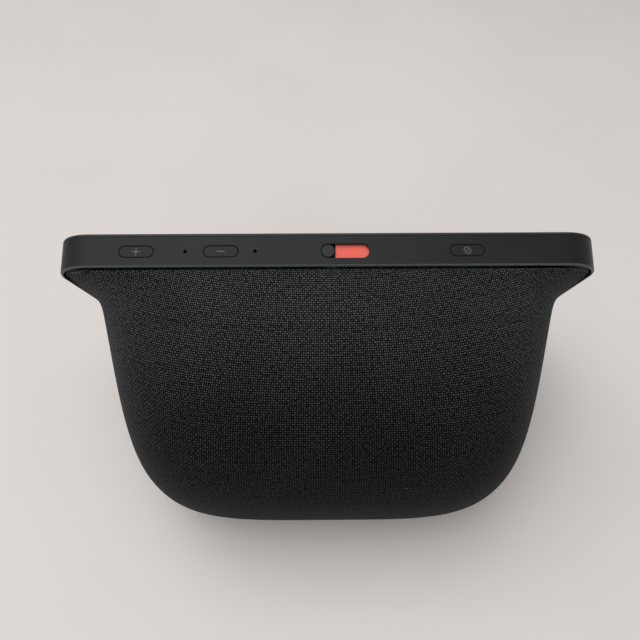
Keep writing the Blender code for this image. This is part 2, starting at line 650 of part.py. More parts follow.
def make_body(axis):
    """Fabric skin over the rear housing, with the speaker grille and the inlet opening."""
    skin = body_shell("fabric_cover", 0, FABRIC, finish("fabric_cover", (0.03, 0.032, 0.035), 0.95))
    housing = body_shell("rear_housing", FABRIC + FABRIC_CLEARANCE, HOUSING_WALL,
                         finish("rear_housing", (0.02, 0.02, 0.021), 0.6))
    opening = cylinder_cutter("inlet_opening", INLET_RADIUS + 2 * GAP, 40 * MM,
                              (0, BODY_REAR, INLET_LEVEL), None, "Y")
    combine(skin, opening, "DIFFERENCE")
    for number, (x, y) in enumerate(BASE_SCREWS, 1):
        boss = cylinder_cutter(f"boss_{number}", 3.6 * MM, 6 * MM, (x, y, BASE_LEVEL + 3 * MM))
        combine(housing, boss, "UNION")
        pilot = cylinder_cutter(f"boss_{number}_pilot", 1.4 * MM, 9 * MM, (x, y, BASE_LEVEL + MM), steps=12)
        combine(housing, pilot, "DIFFERENCE")
    combine(housing, opening, "DIFFERENCE")
    build = bmesh.new()
    slots = 9
    pitch = 4.4 * MM
    for number in range(slots):
        offset = (number - (slots - 1) / 2) * pitch
        reach = 2 * math.sqrt((SPEAKER_RADIUS - 2 * MM) ** 2 - offset**2)
        middle = Matrix.Translation((offset, 0, 12 * MM))
        bmesh.ops.create_cube(build, size=1, matrix=middle @ Matrix.Diagonal((1.8 * MM, reach, 20 * MM, 1)))
    slots_mesh = mesh_from(build, "grille_slots")
    grille = add_object("grille_slots", slots_mesh, cutters, None, (0, 0, 0), axis)
    combine(housing, grille, "DIFFERENCE")


def make_base():
    """Bottom tray, the rubber foot under it and the four screws that the foot hides."""
    tray_top = BASE_LEVEL - GAP
    tray_bottom = tray_top - TRAY_THICKNESS
    tray = plate_from_outline("base_tray", base_outline(0.8 * MM), tray_bottom, tray_top,
                              finish("base_tray", (0.025, 0.025, 0.026), 0.55))
    plate_from_outline("rubber_foot", base_outline(FOOT_INSET), 0, FOOT_THICKNESS,
                       finish("rubber_foot", (0.018, 0.018, 0.019), 0.9))
    head = 0.7 * MM
    head_bottom = tray_bottom + 0.05 * MM
    for number, (x, y) in enumerate(BASE_SCREWS, 1):
        counterbore = cylinder_cutter(f"base_screw_{number}_seat", 2.4 * MM, 2 * MM,
                                      (x, y, head_bottom + head + GAP - MM), steps=16)
        combine(tray, counterbore, "DIFFERENCE")
        hole = cylinder_cutter(f"base_screw_{number}_hole", 1.4 * MM, 6 * MM, (x, y, tray_bottom), steps=12)
        combine(tray, hole, "DIFFERENCE")
        shank_top = BASE_LEVEL + 5 * MM
        profile = ((0, shank_top), (1.1 * MM, shank_top), (1.1 * MM, head_bottom + head),
                   (2.1 * MM, head_bottom + head), (2.1 * MM, head_bottom), (0, head_bottom))
        turned(f"base_screw_{number}", profile, finish(f"base_screw_{number}", (0.5, 0.5, 0.52), 0.3, 1),
               (x, y, 0), steps=12)


def make_inlet():
    """Power inlet low at the rear: recessed surround, jack, its centre pin and its board."""
    rim = INLET_FLOOR + 8 * MM
    surround = turned("inlet_surround",
                      ((INLET_RADIUS, rim), (INLET_RADIUS, INLET_FLOOR), (3.1 * MM, INLET_FLOOR),
                       (3.1 * MM, INLET_FLOOR + MM), (INLET_RADIUS - MM, INLET_FLOOR + MM),
                       (INLET_RADIUS - MM, rim), (INLET_RADIUS, rim)),
                      finish("inlet_surround", (0.025, 0.025, 0.026), 0.5), (0, 0, INLET_LEVEL), None,
                      (-math.pi / 2, 0, 0))
    trim = box_cutter("inlet_rim_trim", (20 * MM, 10 * MM, 30 * MM), (0, rim + 2.2 * MM, INLET_LEVEL))
    trim.rotation_euler = (-math.atan(INLET_RIM_SLOPE), 0, 0)
    combine(surround, trim, "DIFFERENCE")
    jack_rear = INLET_FLOOR - GAP
    jack_length = 12 * MM
    jack = box("power_jack", (9 * MM, jack_length, 8.2 * MM), (0, jack_rear - jack_length / 2, INLET_LEVEL),
               finish("power_jack", (0.015, 0.015, 0.016), 0.4), None, 0.6 * MM, "Y", 2)
    bore = cylinder_cutter("jack_bore", 2.7 * MM, 20 * MM, (0, jack_rear, INLET_LEVEL), None, "Y", 20)
    combine(jack, bore, "DIFFERENCE")
    pin_start = jack_rear - 10 * MM + GAP
    pin_end = jack_rear - 1.2 * MM
    profile = ((0, pin_end), (0.7 * MM, pin_end), (1 * MM, pin_end - 0.4 * MM), (1 * MM, pin_start),
               (0, pin_start))
    turned("power_jack_pin", profile, finish("power_jack_pin", (0.7, 0.65, 0.5), 0.25, 1),
           (0, 0, INLET_LEVEL), None, (-math.pi / 2, 0, 0), 12)
    board_level = INLET_LEVEL - 4.1 * MM - GAP - 0.5 * MM
    box("jack_board", (18 * MM, 16 * MM, 1 * MM), (0, jack_rear - 8 * MM, board_level),
        finish("jack_board", (0.02, 0.12, 0.06), 0.5), None)


clear_scene()
parts = new_collection("smart_display")
cutters = new_collection("cutters")
module = tilted_frame()
driver_axis = speaker_frame_empty()
make_display_frame(module)
make_glass_and_panel(module)
make_buttons(module)
make_shutter(module)
make_camera(module)
make_electronics(module)
make_speaker(driver_axis)
make_body(driver_axis)
make_base()
make_inlet()
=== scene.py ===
"""Compact smart display with a fabric covered speaker body, dressed for rendering.

The screen faces -Y and +Z is up. All sizes are in metres. Pieces that need a finer or softer
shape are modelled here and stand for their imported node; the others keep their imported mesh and
take a finish here.
"""
import logging
import math
from dataclasses import dataclass, field
from enum import Enum
from typing import Any, Callable, Iterable, Sequence

import bmesh
import bpy
import numpy as np
from mathutils import Matrix, Vector


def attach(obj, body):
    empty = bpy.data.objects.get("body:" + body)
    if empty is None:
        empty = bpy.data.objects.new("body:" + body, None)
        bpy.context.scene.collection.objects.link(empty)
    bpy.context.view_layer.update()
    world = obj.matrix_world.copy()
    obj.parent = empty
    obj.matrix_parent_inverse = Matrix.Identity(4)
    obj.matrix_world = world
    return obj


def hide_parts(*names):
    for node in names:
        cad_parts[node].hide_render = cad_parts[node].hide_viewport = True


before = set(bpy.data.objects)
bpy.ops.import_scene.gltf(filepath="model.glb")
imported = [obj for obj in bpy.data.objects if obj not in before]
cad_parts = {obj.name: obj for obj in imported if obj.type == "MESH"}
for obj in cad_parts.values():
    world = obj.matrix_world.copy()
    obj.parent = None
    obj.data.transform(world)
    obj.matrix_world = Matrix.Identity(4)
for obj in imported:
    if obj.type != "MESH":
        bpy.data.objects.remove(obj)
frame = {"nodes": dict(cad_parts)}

LOG = logging.getLogger("smart_display")
MM = 0.001
GAP = 0.3 * MM
EVERYTHING: Callable[[Any], bool] = lambda item: True


class Body(Enum):
    """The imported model's moving bodies."""

    DEVICE = "device"
    VOLUME_UP = "volume_up"
    VOLUME_DOWN = "volume_down"
    MUTE = "mute"
    SHUTTER = "shutter"


class Part(Enum):
    """What a selection in edit mode picks."""

    VERT = "verts"
    EDGE = "edges"
    FACE = "faces"


class Axis(Enum):
    """The direction that a round or rounded piece runs in, as the turn of a part made along Z."""

    Y = (math.pi / 2, 0.0, 0.0)
    Z = (0.0, 0.0, 0.0)

    def along(self, edge: bmesh.types.BMEdge) -> bool:
        """Returns whether an edge runs in this direction."""
        step = edge.verts[1].co - edge.verts[0].co
        return abs(step["XYZ".index(self.name)]) > 0.9 * step.length


class Joinery(Enum):
    """How a tool changes a piece."""

    CUT = "DIFFERENCE"
    ADD = "UNION"


class Sign(Enum):
    """The mark on a button."""

    PLUS = "plus"
    MINUS = "minus"
    STRUCK_RING = "struck_ring"


class Bench:
    """Modelling steps shared by every sub-assembly."""

    @staticmethod
    def clear() -> None:
        """Leaves edit mode with nothing selected."""
        active = bpy.context.view_layer.objects.active
        if active is not None and active.mode != "OBJECT":
            bpy.ops.object.mode_set(mode="OBJECT")
        bpy.ops.object.select_all(action="DESELECT")

    @staticmethod
    def hold(piece: bpy.types.Object) -> None:
        """Makes a piece the only one selected, and the active one.

        Args:
            piece: The piece to select.
        """
        Bench.clear()
        piece.select_set(True)
        bpy.context.view_layer.objects.active = piece

    @staticmethod
    def named(name: str) -> bpy.types.Object:
        """Names the primitive just added, and settles its place into its mesh.

        Args:
            name: The piece's name.

        Returns:
            The new object.
        """
        piece = bpy.context.object
        piece.name = name
        piece.data.name = name
        bpy.ops.object.transform_apply(location=True, rotation=True, scale=True)
        return piece

    @staticmethod
    def block(name: str, size: Sequence[float], centre: Sequence[float] = (0, 0, 0)) -> bpy.types.Object:
        """Starts a piece from a block.

        Args:
            name: The piece's name.
            size: Its three sides.
            centre: Its middle.

        Returns:
            The new object.
        """
        Bench.clear()
        bpy.ops.mesh.primitive_cube_add(size=1, location=centre, scale=size)
        return Bench.named(name)

    @staticmethod
    def rod(name: str, radius: float, length: float, centre: Sequence[float], axis: Axis,
            steps: int = 64) -> bpy.types.Object:
        """Starts a piece from a round rod.

        Args:
            name: The piece's name.
            radius: The rod's radius.
            length: Its length along the axis.
            centre: Its middle.
            axis: The direction that it runs in.
            steps: The number of sides.

        Returns:
            The new object.
        """
        Bench.clear()
        bpy.ops.mesh.primitive_cylinder_add(vertices=steps, radius=radius, depth=length, location=centre,
                                            rotation=axis.value)
        return Bench.named(name)

    @staticmethod
    def pick(piece: bpy.types.Object, part: Part, wanted: Callable[[Any], bool]) -> None:
        """Opens a piece in edit mode and selects what passes a test.

        Args:
            piece: The piece to open.
            part: Whether vertices, edges or faces are picked.
            wanted: The test for each of them.
        """
        Bench.hold(piece)
        bpy.ops.object.mode_set(mode="EDIT")
        bpy.ops.mesh.select_mode(type=part.name)
        bpy.ops.mesh.select_all(action="DESELECT")
        shape = bmesh.from_edit_mesh(piece.data)
        for item in getattr(shape, part.value):
            if wanted(item):
                item.select_set(True)
        shape.select_flush_mode()
        bmesh.update_edit_mesh(piece.data)

    @staticmethod
    def close() -> None:
        """Leaves edit mode."""
        bpy.ops.object.mode_set(mode="OBJECT")

    @staticmethod
    def round_edges(piece: bpy.types.Object, wanted: Callable[[Any], bool], width: float, steps: int) -> None:
        """Rounds the edges that pass a test.

        Args:
            piece: The piece to work on.
            wanted: The test for an edge.
            width: The radius of the round.
            steps: The number of facets across it.
        """
        Bench.pick(piece, Part.EDGE, wanted)
        bpy.ops.mesh.bevel(offset=width, offset_type="OFFSET", segments=steps, profile=0.5, affect="EDGES")
        Bench.close()

    @staticmethod
    def slab(name: str, size: Sequence[float], centre: Sequence[float], corner: float, axis: Axis = Axis.Z,
             steps: int = 12) -> bpy.types.Object:
        """Makes a block whose four edges along one axis are rounded.

        Args:
            name: The piece's name.
            size: Its three sides.
            centre: Its middle.
            corner: The corner radius.
            axis: The direction of the rounded edges.
            steps: The facets in each corner.

        Returns:
            The new object.
        """
        piece = Bench.block(name, size, centre)
        Bench.round_edges(piece, axis.along, corner, steps)
        return piece

    @staticmethod
    def resize(piece: bpy.types.Object, part: Part, wanted: Callable[[Any], bool], scale: Sequence[float],
               centre: Sequence[float]) -> None:
        """Scales what passes a test about a point.

        Args:
            piece: The piece to work on.
            part: Whether vertices, edges or faces are scaled.
            wanted: The test for each of them.
            scale: The three factors.
            centre: The point that stays.
        """
        Bench.pick(piece, part, wanted)
        bpy.ops.transform.resize(value=scale, center_override=centre)
        Bench.close()

    @staticmethod
    def grow(piece: bpy.types.Object, wanted: Callable[[Any], bool], shift: Sequence[float],
             scale: Sequence[float] = (1, 1, 1), centre: Sequence[float] = (0, 0, 0)) -> None:
        """Extrudes the faces that pass a test, then scales the new ones.

        Args:
            piece: The piece to work on.
            wanted: The test for a face.
            shift: How far the new faces move.
            scale: How they are scaled.
            centre: The point that they are scaled about.
        """
        Bench.pick(piece, Part.FACE, wanted)
        bpy.ops.mesh.extrude_region_move(TRANSFORM_OT_translate={"value": shift})
        bpy.ops.transform.resize(value=scale, center_override=centre)
        Bench.close()

    @staticmethod
    def sink(piece: bpy.types.Object, wanted: Callable[[Any], bool], border: float, depth: float) -> None:
        """Insets the faces that pass a test and presses them in, or raises them where depth is positive.

        Args:
            piece: The piece to work on.
            wanted: The test for a face.
            border: The width of the border that stays.
            depth: How far the middle rises; below zero it is pressed in.
        """
        Bench.pick(piece, Part.FACE, wanted)
        bpy.ops.mesh.inset(thickness=border, depth=depth, use_even_offset=True)
        Bench.close()

    @staticmethod
    def work(piece: bpy.types.Object, tool: bpy.types.Object, how: Joinery = Joinery.CUT) -> None:
        """Cuts a tool from a piece or joins it on, and clears the tool away.

        Args:
            piece: The piece to work on.
            tool: The shape that is cut away or joined on.
            how: Which of the two.
        """
        Bench.hold(piece)
        step = piece.modifiers.new(tool.name, "BOOLEAN")
        step.operation = how.value
        step.solver = "EXACT"
        step.object = tool
        bpy.ops.object.modifier_apply(modifier=step.name)
        bpy.data.objects.remove(tool, do_unlink=True)

    @staticmethod
    def soften(piece: bpy.types.Object, width: float, steps: int = 2, sharper_than: float = 40) -> None:
        """Rounds every edge that is sharper than an angle in degrees.

        Args:
            piece: The piece to work on.
            width: The radius of the rounds.
            steps: The facets across each.
            sharper_than: The least angle of an edge that is rounded, in degrees.
        """
        Bench.hold(piece)
        step = piece.modifiers.new("Soft edges", "BEVEL")
        step.width = width
        step.segments = steps
        step.limit_method = "ANGLE"
        step.angle_limit = math.radians(sharper_than)
        bpy.ops.object.modifier_apply(modifier=step.name)

    @staticmethod
    def join(pieces: Sequence[bpy.types.Object]) -> bpy.types.Object:
        """Joins several pieces into the first of them.

        Args:
            pieces: The pieces to join.

        Returns:
            The first piece, holding them all.
        """
        Bench.hold(pieces[0])
        for piece in pieces[1:]:
            piece.select_set(True)
        bpy.ops.object.join()
        return pieces[0]

    @staticmethod
    def done(piece: bpy.types.Object, smooth_to: float = 32) -> bpy.types.Object:
        """Merges doubles, points the faces outwards and smooths rounds up to an angle in degrees.

        Args:
            piece: The piece to finish.
            smooth_to: The greatest angle that is smoothed, in degrees.

        Returns:
            The same piece.
        """
        Bench.pick(piece, Part.VERT, EVERYTHING)
        bpy.ops.mesh.remove_doubles(threshold=0.000001)
        bpy.ops.mesh.normals_make_consistent(inside=False)
        Bench.close()
        bpy.ops.object.shade_smooth_by_angle(angle=math.radians(smooth_to))
        step = piece.modifiers.new("Weighted normals", "WEIGHTED_NORMAL")
        step.keep_sharp = True
        bpy.ops.object.modifier_apply(modifier=step.name)
        return piece

    @staticmethod
    def deliver(piece: bpy.types.Object, body: Body, look: bpy.types.Material, slot: str,
                stands_for: Sequence[str] = ()) -> None:
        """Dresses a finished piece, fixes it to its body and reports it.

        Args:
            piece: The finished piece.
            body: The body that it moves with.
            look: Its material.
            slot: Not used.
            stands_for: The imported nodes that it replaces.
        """
        piece.data.materials.clear()
        piece.data.materials.append(look)
        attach(piece, body.value)
        if stands_for:
            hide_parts(*stands_for)
        LOG.info("%s: %d faces, on %s", piece.name, len(piece.data.polygons), body.value)


class Recipe:
    """A material's node tree, built up from its Principled shader."""

    def __init__(self, name: str) -> None:
        """Starts a material with a Principled shader.

        Args:
            name: The material's name.
        """
        self.material = bpy.data.materials.new(name)
        self.material.use_nodes = True
        self.tree = self.material.node_tree
        self.shader = self.tree.nodes["Principled BSDF"]

    def node(self, kind: str, **settings: Any) -> bpy.types.Node:
        """Adds a node with some settings.

        Args:
            kind: The node's type.
            settings: Values for its properties.

        Returns:
            The new node.
        """
        made = self.tree.nodes.new(kind)
        for name, value in settings.items():
            setattr(made, name, value)
        return made

    def feed(self, socket: bpy.types.NodeSocket, value: Any) -> None:
        """Links an output to a socket, or sets the socket to a constant.

        Args:
            socket: The input.
            value: An output, a constant, or None to leave it alone.
        """
        if isinstance(value, bpy.types.NodeSocket):
            self.tree.links.new(value, socket)
        elif value is not None:
            socket.default_value = (*value, 1.0) if socket.type == "RGBA" and len(value) == 3 else value

    def set(self, **constants: Any) -> None:
        """Sets or links the shader's own sockets, named with underscores for spaces."""
        for name, value in constants.items():
            self.feed(self.shader.inputs[name.replace("_", " ").title().replace("Ior", "IOR")], value)

    def place(self, at: Sequence[float] = (0, 0, 0), turn: Sequence[float] = (0, 0, 0),
              size: Sequence[float] = (1, 1, 1)) -> bpy.types.NodeSocket:
        """Returns Object coordinates as seen from a placed, turned and stretched frame.

        Args:
            at: The frame's origin.
            turn: Its rotation.
            size: Its stretch along each axis.

        Returns:
            The coordinates.
        """
        start = self.node("ShaderNodeTexCoord").outputs["Object"]
        mapping = self.node("ShaderNodeMapping", vector_type="TEXTURE")
        self.feed(mapping.inputs["Vector"], start)
        mapping.inputs["Location"].default_value = at
        mapping.inputs["Rotation"].default_value = turn
        mapping.inputs["Scale"].default_value = size
        return mapping.outputs["Vector"]

    def split(self, vector: bpy.types.NodeSocket) -> tuple[bpy.types.NodeSocket, ...]:
        """Returns a vector's three parts.

        Args:
            vector: The vector's output.

        Returns:
            The outputs of X, Y and Z.
        """
        node = self.node("ShaderNodeSeparateXYZ")
        self.feed(node.inputs[0], vector)
        return tuple(node.outputs)

    def math(self, operation: str, first: Any, second: Any = None) -> bpy.types.NodeSocket:
        """Returns one sum of two numbers or outputs.

        Args:
            operation: The sum's name.
            first: The first number or output.
            second: The second one.

        Returns:
            The result's output.
        """
        node = self.node("ShaderNodeMath", operation=operation)
        self.feed(node.inputs[0], first)
        self.feed(node.inputs[1], second)
        return node.outputs[0]

    def spread(self, value: Any, low: float, high: float, to_low: float = 0.0,
               to_high: float = 1.0) -> bpy.types.NodeSocket:
        """Maps a range smoothly to another, and holds it there outside.

        Args:
            value: The number or output to map.
            low: The start of its range.
            high: The end of its range.
            to_low: What the start becomes.
            to_high: What the end becomes.

        Returns:
            The result's output.
        """
        node = self.node("ShaderNodeMapRange", interpolation_type="SMOOTHSTEP")
        for socket, number in zip(node.inputs, (value, low, high, to_low, to_high)):
            self.feed(socket, number)
        return node.outputs[0]

    def mix(self, share: Any, first: Any, second: Any) -> bpy.types.NodeSocket:
        """Returns a blend of two colours.

        Args:
            share: How much of the second colour shows.
            first: The first colour or output.
            second: The second one.

        Returns:
            The result's output.
        """
        node = self.node("ShaderNodeMix", data_type="RGBA")
        for name, value in (("Factor_Float", share), ("A_Color", first), ("B_Color", second)):
            socket = next(item for item in node.inputs if item.identifier == name)
            self.feed(socket, value)
        return next(item for item in node.outputs if item.identifier == "Result_Color")

    def noise(self, vector: bpy.types.NodeSocket, size: float, detail: float = 2.0) -> bpy.types.NodeSocket:
        """Returns soft noise whose features are about a given size.

        Args:
            vector: The coordinates.
            size: The size of a feature.
            detail: How many finer layers it has.

        Returns:
            The noise, from 0 to 1.
        """
        node = self.node("ShaderNodeTexNoise")
        self.feed(node.inputs["Vector"], vector)
        node.inputs["Scale"].default_value = 1 / size
        node.inputs["Detail"].default_value = detail
        return node.outputs["Fac"]

    def cells(self, vector: bpy.types.NodeSocket, size: float, feature: str = "F1") -> bpy.types.Node:
        """Returns a Voronoi node whose cells are about a given size.

        Args:
            vector: The coordinates.
            size: The size of a cell.
            feature: What the node measures.

        Returns:
            The node.
        """
        node = self.node("ShaderNodeTexVoronoi", feature=feature)
        self.feed(node.inputs["Vector"], vector)
        node.inputs["Scale"].default_value = 1 / size
        return node

    def relief(self, height: bpy.types.NodeSocket, distance: float, strength: float = 1.0) -> None:
        """Raises the surface by a height pattern.

        Args:
            height: The pattern's output.
            distance: The height of a full step.
            strength: The share of it that shows.
        """
        node = self.node("ShaderNodeBump")
        node.inputs["Strength"].default_value = strength
        node.inputs["Distance"].default_value = distance
        self.feed(node.inputs["Height"], height)
        self.feed(self.shader.inputs["Normal"], node.outputs["Normal"])


@dataclass(frozen=True)
class MouldedPlastic:
    """Spark textured moulded plastic with faint flow marks.

    With a place, the plastic past rim_start at the back of that frame is paler high up, a painted
    highlight along the rear rim, and near black lower down, a painted shade on the rim's lower sides.
    """

    name: str
    colour: tuple[float, float, float]
    roughness: float = 0.5
    grain: float = 0.28 * MM
    depth: float = 0.012 * MM
    cloud: float = 14 * MM
    change: float = 0.12
    gloss: float = 0.5
    place: Matrix | None = None
    rim_start: float = 8.6 * MM
    rim_shade_to_highlight: tuple[float, float] = (74 * MM, 80 * MM)
    # rim: painted highlight colour for the upper part of the rear rim
    rim: tuple[float, float, float] = (0.085, 0.087, 0.092)
    # painted shade colour for the lower sides of the rear rim
    rim_painted_shade: tuple[float, float, float] = (0.0015, 0.0015, 0.0017)

    def material(self) -> bpy.types.Material:
        """Builds the material.

        Returns:
            The finished material.
        """
        recipe = Recipe(self.name)
        where = recipe.place()
        patches = recipe.noise(where, self.cloud, 3)
        grain = recipe.noise(where, self.grain, 3)
        dark = tuple(channel * (1 - self.change) for channel in self.colour)
        light = tuple(channel * (1 + self.change) for channel in self.colour)
        tone = recipe.math("ADD", recipe.math("MULTIPLY", patches, 0.6), recipe.math("MULTIPLY", grain, 0.4))
        colour = recipe.mix(recipe.spread(tone, 0.35, 0.65), dark, light)
        if self.place is not None:
            _, back, up = recipe.split(recipe.place(self.place.to_translation(), self.place.to_euler()))
            # Painted rim: a painted highlight high up and a painted shade lower down, blended by height
            rim = recipe.mix(recipe.spread(up, *self.rim_shade_to_highlight), self.rim_painted_shade, self.rim)
            colour = recipe.mix(recipe.spread(back, self.rim_start, self.rim_start + 0.25 * MM), colour, rim)
        recipe.set(base_color=colour,
                   roughness=recipe.spread(patches, 0.3, 0.7, self.roughness - 0.04, self.roughness + 0.05),
                   specular_ior_level=self.gloss)
        recipe.relief(grain, self.depth)
        return recipe.material


@dataclass(frozen=True)
class KnitFabric:
    """Tight charcoal knit: staggered stitches of a grey yarn over a near black one, with some lint.

    Towards the back the colour is darkened more and more: a painted shade.
    """

    name: str
    wale: float = 0.565 * MM
    course: float = 0.60 * MM
    dark: tuple[float, float, float] = (0.0027, 0.0030, 0.0034)
    light: tuple[float, float, float] = (0.108, 0.114, 0.122)
    depth: float = 0.16 * MM
    # Painted shade: the span back from the glass over which the colour darkens, and its darkest factor
    painted_shade_span: tuple[float, float] = (0.0, 42 * MM)
    painted_shade_factor: float = 0.35
    lint: tuple[float, float, float] = (0.42, 0.42, 0.40)

    def stitch(self, recipe: Recipe, along: bpy.types.NodeSocket, pitch: float) -> bpy.types.NodeSocket:
        """Returns the wave of one yarn direction, from -1 to 1, with two stitches to a wave."""
        return recipe.math("COSINE", recipe.math("MULTIPLY", along, math.pi / pitch))

    def material(self) -> bpy.types.Material:
        """Builds the material, laid out by the cloth's own UV map in metres.

        Returns:
            The finished material.
        """
        recipe = Recipe(self.name)
        cloth = recipe.node("ShaderNodeUVMap", uv_map="Cloth").outputs["UV"]
        drift = recipe.node("ShaderNodeVectorMath", operation="MULTIPLY_ADD")
        wander = recipe.node("ShaderNodeTexNoise")
        recipe.feed(wander.inputs["Vector"], cloth)
        wander.inputs["Scale"].default_value = 1 / (2.2 * MM)
        recipe.feed(drift.inputs[0], wander.outputs["Color"])
        drift.inputs[1].default_value = (0.16 * MM,) * 3
        recipe.feed(drift.inputs[2], cloth)
        across, down, _ = recipe.split(drift.outputs["Vector"])
        wale = self.stitch(recipe, across, self.wale)
        course = self.stitch(recipe, down, self.course)
        face = recipe.math("MULTIPLY", wale, course)
        crown = recipe.math("POWER", recipe.math("ABSOLUTE", face), 0.55)
        uneven = recipe.noise(cloth, 0.75 * MM, 2)
        fibre = recipe.noise(cloth, 0.09 * MM, 2)
        worn = recipe.noise(cloth, 24 * MM, 3)
        loop = recipe.math("MULTIPLY", recipe.spread(recipe.math("ABSOLUTE", face), 0.2, 0.85),
                           recipe.spread(face, -0.1, 0.1, 0.5, 1.0))
        grey = recipe.math("MULTIPLY", loop, recipe.spread(uneven, 0.3, 0.68, 0.2, 1.45))
        yarn = recipe.mix(grey, self.dark, self.light)
        # Painted shade in the hollows between the stitches
        stitch_hollow_shade = recipe.spread(crown, 0.05, 0.6, 0.35, 1.0)
        shade = recipe.math("MULTIPLY", stitch_hollow_shade, recipe.spread(worn, 0.3, 0.7, 0.88, 1.1))
        shade = recipe.math("MULTIPLY", shade, recipe.spread(fibre, 0.3, 0.7, 0.8, 1.2))
        # Painted shade: the colour darkens towards the back
        painted_back_shade = recipe.spread(recipe.split(recipe.place())[1], *self.painted_shade_span, 1.0, self.painted_shade_factor)
        shade = recipe.math("MULTIPLY", shade, painted_back_shade)
        toned = recipe.node("ShaderNodeMix", data_type="RGBA", blend_type="MULTIPLY")
        toned.inputs[0].default_value = 1.0
        recipe.feed(toned.inputs[6], yarn)
        grey_shade = recipe.node("ShaderNodeCombineColor")
        for socket in grey_shade.inputs:
            recipe.feed(socket, shade)
        recipe.feed(toned.inputs[7], grey_shade.outputs[0])
        specks = recipe.cells(cloth, 9 * MM)
        speck = recipe.spread(specks.outputs["Distance"], 0.006, 0.016, 1.0, 0.0)
        kept = recipe.split(specks.outputs["Color"])[0]
        speck = recipe.math("MULTIPLY", speck, recipe.spread(kept, 0.90, 0.92))
        recipe.set(base_color=recipe.mix(speck, toned.outputs[2], self.lint), roughness=0.65,
                   specular_ior_level=0.05, sheen_weight=0.05, sheen_roughness=0.35,
                   sheen_tint=(0.75, 0.78, 0.82))
        height = recipe.math("ADD", crown, recipe.math("MULTIPLY", fibre, 0.22))
        bulge = recipe.math("MULTIPLY", recipe.spread(face, -0.5, 0.5), 0.35)
        recipe.relief(recipe.math("ADD", height, bulge), self.depth, 0.9)
        return recipe.material


@dataclass(frozen=True)
class ScreenGlass:
    """Black printed cover glass with satin sides: the dark display shows faintly, the camera above it."""

    name: str
    place: Matrix
    active: tuple[float, float, float] = (64 * MM, 32.4 * MM, 42.4 * MM)
    camera_up: float = 79.2 * MM
    camera_radius: float = 1.9 * MM
    rim: tuple[float, float, float] = (0.022, 0.0225, 0.024)

    def material(self) -> bpy.types.Material:
        """Builds the material, laid out in the screen module's own frame.

        Returns:
            The finished material.
        """
        recipe = Recipe(self.name)
        where = recipe.place(self.place.to_translation(), self.place.to_euler())
        across, _, up = recipe.split(where)
        half_width, half_height, middle = self.active
        beyond_side = recipe.math("SUBTRACT", recipe.math("ABSOLUTE", across), half_width)
        beyond_end = recipe.math("SUBTRACT", recipe.math("ABSOLUTE", recipe.math("SUBTRACT", up, middle)),
                                 half_height)
        beyond = recipe.math("MAXIMUM", beyond_side, beyond_end)
        inside = recipe.spread(beyond, -0.1 * MM, 0.05 * MM, 1.0, 0.0)
        above = recipe.math("SUBTRACT", up, self.camera_up)
        reach = recipe.math("SQRT", recipe.math("ADD", recipe.math("MULTIPLY", across, across),
                                                recipe.math("MULTIPLY", above, above)))
        edge = self.camera_radius
        ring = recipe.math("MULTIPLY", recipe.spread(reach, edge, edge + 0.1 * MM, 1, 0),
                           recipe.spread(reach, edge - 0.4 * MM, edge - 0.3 * MM))
        lens = recipe.spread(reach, 0.5 * MM, 1.2 * MM, 1.0, 0.0)
        smear = recipe.noise(recipe.place(size=(1, 1, 0.35)), 18 * MM, 4)
        colour = recipe.mix(inside, (0.0042, 0.0043, 0.0048), (0.0085, 0.009, 0.0105))
        colour = recipe.mix(ring, colour, (0.022, 0.022, 0.024))
        colour = recipe.mix(lens, colour, (0.006, 0.007, 0.022))
        flank = recipe.spread(recipe.split(where)[1], 0.02 * MM, 0.2 * MM)
        gloss = recipe.spread(smear, 0.35, 0.75, 0.05, 0.11)
        recipe.set(base_color=recipe.mix(flank, colour, self.rim), specular_ior_level=0.35,
                   roughness=recipe.math("MAXIMUM", gloss, recipe.math("MULTIPLY", flank, 0.5)))
        recipe.relief(recipe.noise(where, 30 * MM, 1), 0.02 * MM, 0.3)
        return recipe.material


@dataclass(frozen=True)
class SheetMetal:
    """Rolled, plated or machined metal with fine lines in one direction."""

    name: str
    colour: tuple[float, float, float]
    roughness: float = 0.32
    line: float = 0.12 * MM
    stretch: tuple[float, float, float] = (18, 1, 1)

    def material(self) -> bpy.types.Material:
        """Builds the material.

        Returns:
            The finished material.
        """
        recipe = Recipe(self.name)
        lines = recipe.noise(recipe.place(size=self.stretch), self.line, 3)
        stain = recipe.noise(recipe.place(), 6 * MM, 3)
        dull = tuple(channel * 0.78 for channel in self.colour)
        recipe.set(base_color=recipe.mix(recipe.spread(stain, 0.35, 0.7), self.colour, dull), metallic=1.0,
                   roughness=recipe.spread(lines, 0.3, 0.7, self.roughness - 0.06, self.roughness + 0.1))
        recipe.relief(lines, 0.01 * MM, 0.5)
        return recipe.material


@dataclass(frozen=True)
class CircuitBoard:
    """Green solder mask over copper tracks, with plated pads."""

    name: str
    mask: tuple[float, float, float] = (0.012, 0.085, 0.04)
    track: tuple[float, float, float] = (0.03, 0.17, 0.08)
    pad: tuple[float, float, float] = (0.62, 0.52, 0.28)

    def material(self) -> bpy.types.Material:
        """Builds the material.

        Returns:
            The finished material.
        """
        recipe = Recipe(self.name)
        where = recipe.place()
        edges = recipe.cells(where, 2.6 * MM, "DISTANCE_TO_EDGE").outputs["Distance"]
        tracks = recipe.spread(edges, 0.05, 0.09, 1.0, 0.0)
        dots = recipe.cells(where, 2.1 * MM)
        pads = recipe.spread(dots.outputs["Distance"], 0.12, 0.15, 1.0, 0.0)
        colour = recipe.mix(pads, recipe.mix(tracks, self.mask, self.track), self.pad)
        recipe.set(base_color=colour, metallic=recipe.math("MULTIPLY", pads, 0.9),
                   roughness=recipe.spread(recipe.noise(where, 3 * MM), 0.3, 0.7, 0.32, 0.45))
        recipe.relief(recipe.math("MAXIMUM", tracks, pads), 0.03 * MM)
        return recipe.material


